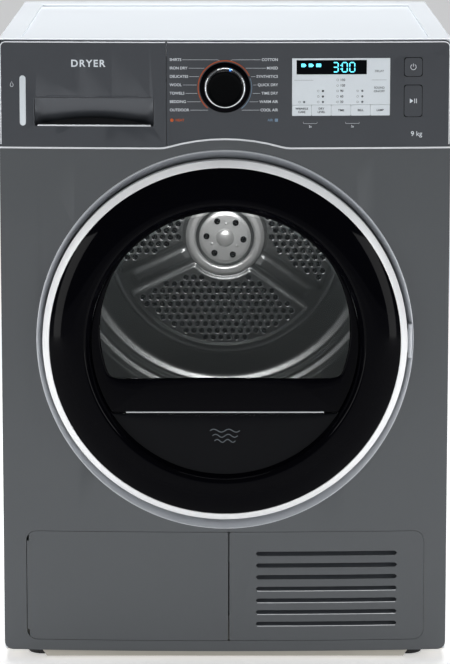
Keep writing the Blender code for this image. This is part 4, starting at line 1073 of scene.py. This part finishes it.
def make_edge_strips():
    """The bright line along the top and sides of the fascia and drawer front."""
    inset = 2.0
    top, side, radius = FASCIA_TOP - inset, HALF - inset, 7.0
    low = PANEL_TOP + 6
    right = np.concatenate([
        [(SEAM + 1.2, top)], np.stack([np.linspace(SEAM + 10, side - radius - 2, 36), np.full(36, top)],
            1),
        arc(side - radius, top - radius, radius, 90, 0,
            8), np.stack([np.full(10, side), np.linspace(top - radius - 3, low, 10)], 1),
    ])
    left = np.concatenate([
        np.stack([np.full(10, -side), np.linspace(low, top - radius - 3, 10)], 1),
        arc(-side + radius, top - radius, radius, 180, 90, 8),
        np.stack([np.linspace(-side + radius + 2, SEAM - 1.2, 24), np.full(24, top)], 1),
    ])
    strip("fascia_edge", right, 1.5, 0.5, "bright_strip", "cabinet", lift=0.3, slot="bright_trim")
    strip("drawer_edge", left, 1.5, 0.5, "bright_strip", "drawer", lift=0.3, slot="bright_trim")


def make_drawer_details():
    """Finger scoop, its lip with a painted highlight, its painted shadow line, painted shade in the grip
    gap, the level window and a generic word.
    """
    left, right, low, high = -253.0, -94.5, TOP - 116.6, TOP - 78.0
    u, v = np.meshgrid(np.linspace(0, 1, 61), np.linspace(0, 1, 25), indexing="ij")
    x = left + 0.6 + (right - left - 1.2) * u
    z = low + 0.6 + (high - low - 1.2) * v
    side = np.clip(np.minimum(u, 1 - u) * 16, 0, 1)
    floor_line = 0.2 * np.sin(np.pi * u)
    depth = 1.2 + 14.5 * np.clip((1 - v) ** 0.85, 0, 1) * (0.25 + 0.75 * np.sin(side * np.pi / 2))
    depth = np.where(v < 0.08 + floor_line, depth + 1.2, depth)
    faces = grid_faces(61, 25)
    front = np.stack([x, depth, z], -1)
    back = front.copy()
    back[..., 1] = 18.6
    count = 61 * 25
    faces += [[count + k for k in face[::-1]] for face in grid_faces(61, 25)]
    rim = [i * 25 for i in range(61)] + [60 * 25 + j for j in range(1, 25)]
    rim += [i * 25 + 24 for i in range(59, -1, -1)] + [j for j in range(23, 0, -1)]
    faces += [[a, b, b + count, a + count] for a, b in zip(rim, rim[1:] + rim[:1])]
    points = np.concatenate([front.reshape(-1, 3), back.reshape(-1, 3)])
    piece("drawer_scoop", to_world(points), faces, "fascia_paint", "drawer", "graphite_fascia", smooth=50)

    # A dark lens-shaped sheet of painted shade in the finger gap below the scoop's lip.
    t = np.linspace(0, 1, 41)
    lens_top = np.stack([left + 8 + (right - left - 16) * t, low + 3 + 9.0 * np.sin(np.pi * t)], 1)
    lens_low = np.stack([right - 8 - (right - left - 16) * t, np.full(41, low + 2.2)], 1)
    pad("drawer_grip_shade", np.concatenate([lens_top, lens_low[1:-1]]), 0.6, 2.2, "hole_dark", "drawer",
        0.2)
    # The lip is a bright strip: a painted highlight along the scoop's lower edge.
    lip = np.stack([left + 4 + (right - left - 8) * t, low + 1.4 + 0.0 * t], 1)
    strip("drawer_lip_highlight", lip, 2.2, 1.0, "bright_strip", "drawer", lift=0.4)
    slot = np.stack([np.linspace(-237, -115, 24), np.full(24, high + 1.8)], 1)
    strip("drawer_shadow", slot, 1.3, 0.06, "ink_dark", "drawer", lift=0.1)
    frame_line = rectangle(left - 0.8, right + 0.8, low - 0.8, high + 0.8, 2.0, 4)
    strip("drawer_scoop_edge", frame_line, 0.9, 0.35, "fascia_paint", "drawer", lift=0.2, closed=True)
    window = rectangle(-272.6, -264.5, TOP - 116, TOP - 49, 4.0, 6)
    pad("level_window", window, -0.5, 0.6, "key_plastic", "drawer", 0.5, slot="light_keys")
    drop = np.concatenate([arc(-283, TOP - 62, 2.0, -210, 30, 14), [(-283, TOP - 57)]])
    strip("level_icon", drop, 0.6, 0.08, "ink_white", "drawer", closed=True)
    lettering("drawer_word", "DRYER", 13.0, -181.5, TOP - 33.0, "ink_white", "drawer", bold=0.3,
        spread=1.22)


def make_knob():
    """The turned knob: a black cap with a dished face, a bright ring and a lit mark."""
    cap = softened([
        (0, -19.2), (19.5, -19.4), (22.4, -20.0), (24.0, -18.6), (24.2, -8.6), (24.4, -6.0), (3.3,
            -6.0), (3.3, -12), (0, -12),
    ], 0.8, closed=False)
    revolve("knob_cap", cap, "knob_black", "knob", (0.0, KNOB_Z), 128, False, slot="gloss_black",
        replaces=("program_knob",))
    ring = softened([(24.3, -8.2), (26.0, -8.0), (27.1, -6.4), (27.1, -1.0), (24.3, -1.0)], 0.7)
    revolve("knob_ring", ring, "chrome", "knob", (0.0, KNOB_Z), 128, slot="bright_trim")
    a = math.radians(74)
    mark = [(0, -9.2), (0.9, -9.0), (1.3, -8.2), (1.3, -7.4), (0, -7.4)]
    revolve("knob_light", mark, "blue_glow", "knob", (25.4 * math.cos(a), KNOB_Z + 25.4 * math.sin(a)),
        20, False)
    dial = softened([(27.6, -0.3), (33.7, -0.3), (33.3, -1.5), (27.6, -1.9)], 0.4)
    revolve("dial_black_ring", dial, "piano_black", "cabinet", (0.0, KNOB_Z), 128, slot="gloss_black",
        replaces=("dial_ring",))


LEFT_WORDS = ("SHIRTS", "IRON DRY", "DELICATES", "WOOL", "TOWELS", "BEDDING", "OUTDOOR")
RIGHT_WORDS = ("COTTON", "MIXED", "SYNTHETICS", "QUICK DRY", "TIME DRY", "WARM AIR", "COOL AIR")


def make_dial_print():
    """Arcs round the dial, and seven programme names with leader lines on each side."""
    strip("dial_arc_heat", arc(0, KNOB_Z, 35.6, 230, 26, 70), 1.3, 0.1, "ink_orange", "cabinet",
        lift=0.05)
    strip("dial_arc_air", arc(0, KNOB_Z, 35.4, 20, -52, 40), 0.9, 0.1, "ink_blue", "cabinet", lift=0.05)
    heights = np.linspace(TOP - 27.4, TOP - 94.4, 7)
    for index, z in enumerate(heights):
        spread = math.sqrt(max(37.5 ** 2 - (z - KNOB_Z) ** 2, 16.0))
        for side, words in ((-1, LEFT_WORDS), (1, RIGHT_WORDS)):
            edge = side * (73.3 if side < 0 else 70.1)
            label = "left" if side < 0 else "right"
            align = "LEFT" if side < 0 else "RIGHT"
            word = lettering(f"programme_{label}_{index + 1}", words[index], 5.0, edge, z, "ink_white",
                "cabinet", align)
            ends = [corner[0] / MM for corner in word.bound_box]
            start, end = side * spread, (max(ends) if side < 0 else min(ends)) - side * 1.6
            if abs(end) - abs(start) > 1.5:
                line = [(start, z), ((start + end) / 2, z), (end, z)]
                if index == 0:
                    line = [(side * 7.4, KNOB_Z + 36.4), (side * 9.0, z - 0.6), (side * 10.2, z),
                        (side * 20, z), (end, z)]
                strip(f"leader_{label}_{index + 1}", line, 0.4, 0.06, "ink_white", "cabinet", lift=0.05)
    pad("heat_dot", arc(-70.4, TOP - 107.9, 2.3, 0, 345, 22), -0.15, 0.1, "ink_orange", "cabinet", 0.05)
    lettering("heat_word", "HEAT", 4.6, -65.5, TOP - 107.9, "ink_orange", "cabinet", "LEFT")
    pad("air_square", rectangle(66.0, 70.2, TOP - 110.0, TOP - 105.8, 0.6, 2), -0.15, 0.1, "ink_blue",
        "cabinet", 0.05)
    lettering("air_word", "AIR", 4.6, 63.5, TOP - 107.9, "ink_blue", "cabinet", "RIGHT")


SEGMENTS = {"0": "abcdef", "3": "abcdg"}


def make_digit(name, figure, x, z, surface):
    """A seven-segment figure: each lit bar is a lozenge along its side of the figure."""
    half, high, thick = 3.3, 6.2, 0.75
    bars = {
        "a": ((-half, high), (half, high)), "b": ((half, high), (half, 0)), "c": ((half, 0),
            (half, -high)),
        "d": ((-half, -high), (half, -high)), "e": ((-half, 0), (-half, -high)), "f": ((-half, high),
            (-half, 0)),
        "g": ((-half, 0), (half, 0)),
    }
    for letter in SEGMENTS[figure]:
        start, end = (np.array(point) + (x, z) for point in bars[letter])
        along = (end - start) / np.linalg.norm(end - start)
        side = np.array([-along[1], along[0]]) * thick
        start, end = start + along * 0.45, end - along * 0.45
        lozenge = [start, start + along * thick + side, end - along * thick + side, end,
                   end - along * thick - side, start + along * thick - side]
        pad(f"{name}_{letter}", lozenge, surface - 0.15, surface + 0.05, "cyan_glow", "cabinet", 0.05)


def make_display():
    """Display plate, glossy screen with lit figures, indicator columns and print."""
    refined("display_plate", "key_plastic", "cabinet", 0.6, bowed=True)
    refined("display_screen", "screen_black", "cabinet", 0.3, bowed=True)
    surface = 0.55
    mid = TOP - 37.6
    for index, x in enumerate((146.5, 158.5, 168.5)):
        make_digit(f"digit_{index + 1}", "300"[index], x, mid, surface)
    for index, z in enumerate((mid - 2.4, mid + 2.4)):
        pad(f"digit_colon_{index + 1}", rectangle(152.8, 154.2, z - 0.7, z + 0.7, 0.2, 1), surface - 0.15,
            surface + 0.05, "cyan_glow", "cabinet", 0.05)
    for index in range(3):
        x, z = 101.0 + index * 9.8, mid + 2.6
        tip = 2.2 if index < 2 else 0.4
        tag = softened([(x, z - 2.3), (x + 6.8 - tip, z - 2.3), (x + 6.8, z), (x + 6.8 - tip, z + 2.3),
            (x, z + 2.3)], 0.5, 2)
        pad(f"display_icon_{index + 1}", tag, surface - 0.15, surface + 0.05, "cyan_glow", "cabinet",
            0.05)
    surface = 0.25
    for column, (x, rows) in enumerate(((98.7, 1), (123.5, 3), (149.1, 5), (175.8, 3))):
        for row in range(rows):
            z = TOP - 83.8 + row * 7.3
            name = f"indicator_{column + 1}_{row + 1}"
            strip(name, arc(x, z, 1.3, 0, 330, 12), 0.35, 0.05, "ink_grey", "cabinet", closed=True)
            shift_depth(name, surface)
            if rows == 5:
                figure = ("30", "60", "90", "120", "150")[row]
                lettering(name + "_figure", figure, 4.4, x + 3.4, z, "ink_dark", "cabinet", "LEFT",
                    surface)
            else:
                mark = arc(x + 6.2, z, 1.5, 0, 330, 12)
                filled = column == 1 and row > 0
                pad(name + "_mark", mark, surface - 0.1, surface + 0.05,
                    "ink_dark" if filled else "ink_grey",
                    "cabinet", 0.05)
    for index, (z, words) in enumerate(((TOP - 43.0, ("DELAY",)), (TOP - 67.5, ("SOUND", "ON/OFF")))):
        for line, word in enumerate(words):
            height = z - 4.6 * (line - (len(words) - 1) / 2)
            lettering(f"touch_{index + 1}_{line + 1}", word, 4.0, 204.5, height, "ink_grey", "cabinet",
                "CENTER", surface)
    for index, (start, end, z) in enumerate(((194.5, 214.0, TOP - 54.7), (92.0, 117.0, TOP - 54.7))):
        line = [(start, z), ((start + end) / 2, z), (end, z)]
        strip(f"touch_divider_{index + 1}", line, 0.35, 0.06, "ink_grey", "cabinet")
        shift_depth(f"touch_divider_{index + 1}", surface)
    lettering("capacity", "9 kg", 9.0, 262.0, TOP - 127.0, "ink_white", "cabinet", "RIGHT")
    for index, x in enumerate((104.0, 160.0)):
        bracket = [(x, TOP - 110.5), (x, TOP - 112.5), (x + 18, TOP - 112.5), (x + 18, TOP - 110.5)]
        strip(f"hold_bracket_{index + 1}", softened(bracket, 0.6, 3, False), 0.35, 0.06, "ink_white",
            "cabinet", lift=0.05)
        lettering(f"hold_mark_{index + 1}", "3s", 4.2, x + 9, TOP - 116.5, "ink_white", "cabinet")


KEY_WORDS = {
    "wrinkle": ("WRINKLE", "CARE"), "dry_level": ("DRY",
        "LEVEL"), "time": ("TIME",), "bell": ("BELL",), "lamp": ("LAMP",),
}


def make_keys():
    """Five soft keys, the power button and the start button with their symbols."""
    for key in ("wrinkle", "dry_level", "time", "bell", "lamp"):
        node = key + "_key"
        refined(node, "key_plastic", key, 0.7, bowed=True)
        low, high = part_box(node)
        x, z = (low.x + high.x) / 2 / MM, (low.z + high.z) / 2 / MM
        words = KEY_WORDS[key]
        for line, word in enumerate(words):
            height = z - 4.4 * (line - (len(words) - 1) / 2)
            lettering(f"{node}_word_{line + 1}", word, 3.9, x, height, "ink_dark", key, "CENTER", 0.1)
    for body in ("power", "start"):
        refined(body + "_button", "fascia_paint", body, 1.0, bowed=True)
        low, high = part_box(body + "_button")
        x, z = (low.x + high.x) / 2 / MM, (low.z + high.z) / 2 / MM
        outline = rectangle(low.x / MM - 0.1, high.x / MM + 0.1, low.z / MM - 0.1, high.z / MM + 0.1, 3.2)
        strip(body + "_surround", outline, 1.5, 0.12, "satin_black", "cabinet", lift=0.2, closed=True)
        if body == "power":
            strip("power_arc", arc(x, z, 3.6, 120, 420, 24), 0.7, 0.1, "ink_white", body, lift=0.1)
            strip("power_bar", [(x, z + 0.6), (x, z + 2.6), (x, z + 4.6)], 0.7, 0.1, "ink_white", body,
                lift=0.1)
            symbols = ("power_arc", "power_bar")
        else:
            triangle = [(x - 4.4, z - 3.2), (x - 4.4, z + 3.2), (x + 0.2, z)]
            pad("start_play", softened(triangle, 0.5, 3), -0.1, 0.1, "ink_white", body, 0.05)
            for side in (0, 1):
                bar = [(x + 2.0 + side * 2.4, z - 3), (x + 2.0 + side * 2.4, z),
                    (x + 2.0 + side * 2.4, z + 3)]
                strip(f"start_bar_{side + 1}", bar, 0.9, 0.1, "ink_white", body, lift=0.1)
            symbols = ("start_play", "start_bar_1", "start_bar_2")
        for name in symbols:
            shift_depth(name, -0.45)


# ---- Works inside ----------------------------------------------------------------------
class DRYER_OT_works(bpy.types.Operator):
    """Drive, heat pump, tank, filter and rollers"""

    bl_idname = "dryer.works"
    bl_label = "Works"

    def execute(self, context):
        paint("rubber", "drum_belt")
        paint("tank_plastic", "tank_housing")
        refined("water_tank", "tank_plastic", "drawer", 0.6)
        refined("lint_filter", "filter_blue", "filter", 0.8)
        refined("drive_motor", "zinc_sheet", "cabinet", 1.0)
        paint("fitting_steel", "motor_pulley")
        paint("grey_plastic", "fan_wheel")
        refined("compressor", "compressor_black", "cabinet", 1.0)
        paint("alloy_fins", "evaporator")
        paint("copper_fins", "condenser")
        paint("rubber", "roller_left", "roller_right")
        return {"FINISHED"}


# ---- Stage -----------------------------------------------------------------------------
class DRYER_OT_stage(bpy.types.Operator):
    """Floor, soft light and camera"""

    bl_idname = "dryer.stage"
    bl_label = "Stage"

    def execute(self, context):
        make_floor()
        make_lights()
        make_camera()
        return {"FINISHED"}


def stage_piece(name, profile, look):
    """A surface turned about Z from a profile of (radius, height) in metres."""
    profile = np.asarray(profile, float)
    angles = np.linspace(0, 2 * np.pi, 96, endpoint=False)
    r = profile[:, 0][None, :]
    points = np.stack([
        r * np.cos(angles)[:, None], r * np.sin(angles)[:, None],
        np.broadcast_to(profile[:, 1], (96, len(profile))),
    ], -1)
    mesh = bpy.data.meshes.new(name)
    mesh.from_pydata([tuple(p) for p in points.reshape(-1, 3)], [], grid_faces(96, len(profile), True))
    mesh.materials.append(look)
    mesh.shade_smooth()
    obj = bpy.data.objects.new(name, mesh)
    bpy.context.scene.collection.objects.link(obj)
    return obj


def make_floor():
    """A pale round floor, and a far pale wall that only the camera sees."""
    floor = Finish("floor_white", (240, 240, 240), 0.0, 0.9)
    floor.tint(0.08, floor.noise(0.6, 2.0), 0.95)
    floor.feed(floor.shader.inputs["Emission Color"], (1, 1, 1, 1))
    floor.feed(floor.shader.inputs["Emission Strength"], 0.42)
    stage_piece("floor", [(0.001, 0), (1, 0), (4, 0), (16, 0)], floor.material)
    wall = Finish("wall_white", (240, 240, 240), 0.0, 1.0)
    wall.feed(wall.shader.inputs["Emission Color"], (1, 1, 1, 1))
    wall.feed(wall.shader.inputs["Emission Strength"], 0.85)
    backdrop = stage_piece("backdrop", [(16, 0), (16.5, 0.6), (16.5, 14)], wall.material)
    backdrop.visible_diffuse = False
    backdrop.visible_glossy = False
    backdrop.visible_shadow = False


def area_light(name, place, target, size, power, colour=(1, 1, 1)):
    light = bpy.data.lights.new(name, "AREA")
    light.shape = "RECTANGLE"
    light.size, light.size_y = size
    light.energy = power
    light.color = colour
    obj = bpy.data.objects.new(name, light)
    obj.location = place
    obj.rotation_euler = (Vector(target) - Vector(place)).to_track_quat("-Z", "Y").to_euler()
    bpy.context.scene.collection.objects.link(obj)
    return obj


def make_lights():
    """Large side softboxes, a top light, a low front fill and a lamp inside the drum."""
    world = bpy.data.worlds.new("studio")
    bpy.context.scene.world = world
    world.use_nodes = True
    world.node_tree.nodes["Background"].inputs["Color"].default_value = (0.9, 0.93, 0.97, 1)
    world.node_tree.nodes["Background"].inputs["Strength"].default_value = 0.2
    area_light("softbox_left", (-2.6, -1.6, 0.9), (0, 0, 0.4), (0.8, 2.0), 29)
    area_light("softbox_right", (2.6, -1.6, 0.9), (0, 0, 0.4), (0.8, 2.0), 29)
    area_light("top_light", (0, 0.4, 3.0), (0, 0.2, 0.6), (2.2, 1.6), 88)
    fill = area_light("front_fill", (0, -4.2, 0.4), (0, 0, 0.3), (2.4, 0.5), 7)
    fill.visible_glossy = False
    lamp_place = (0, CROWN + 0.26, (DRUM_Z + 165) * MM)
    lamp = area_light("drum_lamp", lamp_place, (0, CROWN + 0.53, (DRUM_Z + 30) * MM), (0.16, 0.06), 1.2)
    lamp.visible_camera = False


def make_camera():
    """A long lens a little above the top, pitched down, with a small rise of the frame."""
    data = bpy.data.cameras.new("camera")
    camera = bpy.data.objects.new("camera", data)
    bpy.context.scene.collection.objects.link(camera)
    data.sensor_width = 36.0
    data.sensor_fit = "AUTO"
    data.lens = 174.7193
    data.shift_y = -0.165
    data.clip_end = 60
    camera.location = (0, -4.5303, 1.2602)
    camera.rotation_euler = (math.pi / 2 - 0.1532, 0, 0)
    bpy.context.scene.camera = camera
    bpy.context.scene.view_settings.view_transform = "Standard"


class DRYER_PT_panel(bpy.types.Panel):
    """Lists the dryer's builders and its settings"""

    bl_label = "Dryer"
    bl_idname = "DRYER_PT_panel"
    bl_space_type = "VIEW_3D"
    bl_region_type = "UI"
    bl_category = "Dryer"

    def draw(self, context):
        for setting in DryerSettings.__annotations__:
            self.layout.prop(context.scene.dryer, setting)
        for operator in OPERATORS:
            self.layout.operator(operator.bl_idname)


OPERATORS = (
    DRYER_OT_cabinet, DRYER_OT_front, DRYER_OT_door, DRYER_OT_drum, DRYER_OT_controls, DRYER_OT_works,
        DRYER_OT_stage,
)
CLASSES = (DryerSettings, *OPERATORS, DRYER_PT_panel)


def register():
    for kind in CLASSES:
        bpy.utils.register_class(kind)
    bpy.types.Scene.dryer = PointerProperty(type=DryerSettings)


def unregister():
    del bpy.types.Scene.dryer
    for kind in reversed(CLASSES):
        bpy.utils.unregister_class(kind)


def main():
    register()
    bpy.ops.dryer.cabinet()
    bpy.ops.dryer.front()
    bpy.ops.dryer.door()
    bpy.ops.dryer.drum()
    bpy.ops.dryer.controls()
    bpy.ops.dryer.works()
    bpy.ops.dryer.stage()


if __name__ == "__main__":
    main()
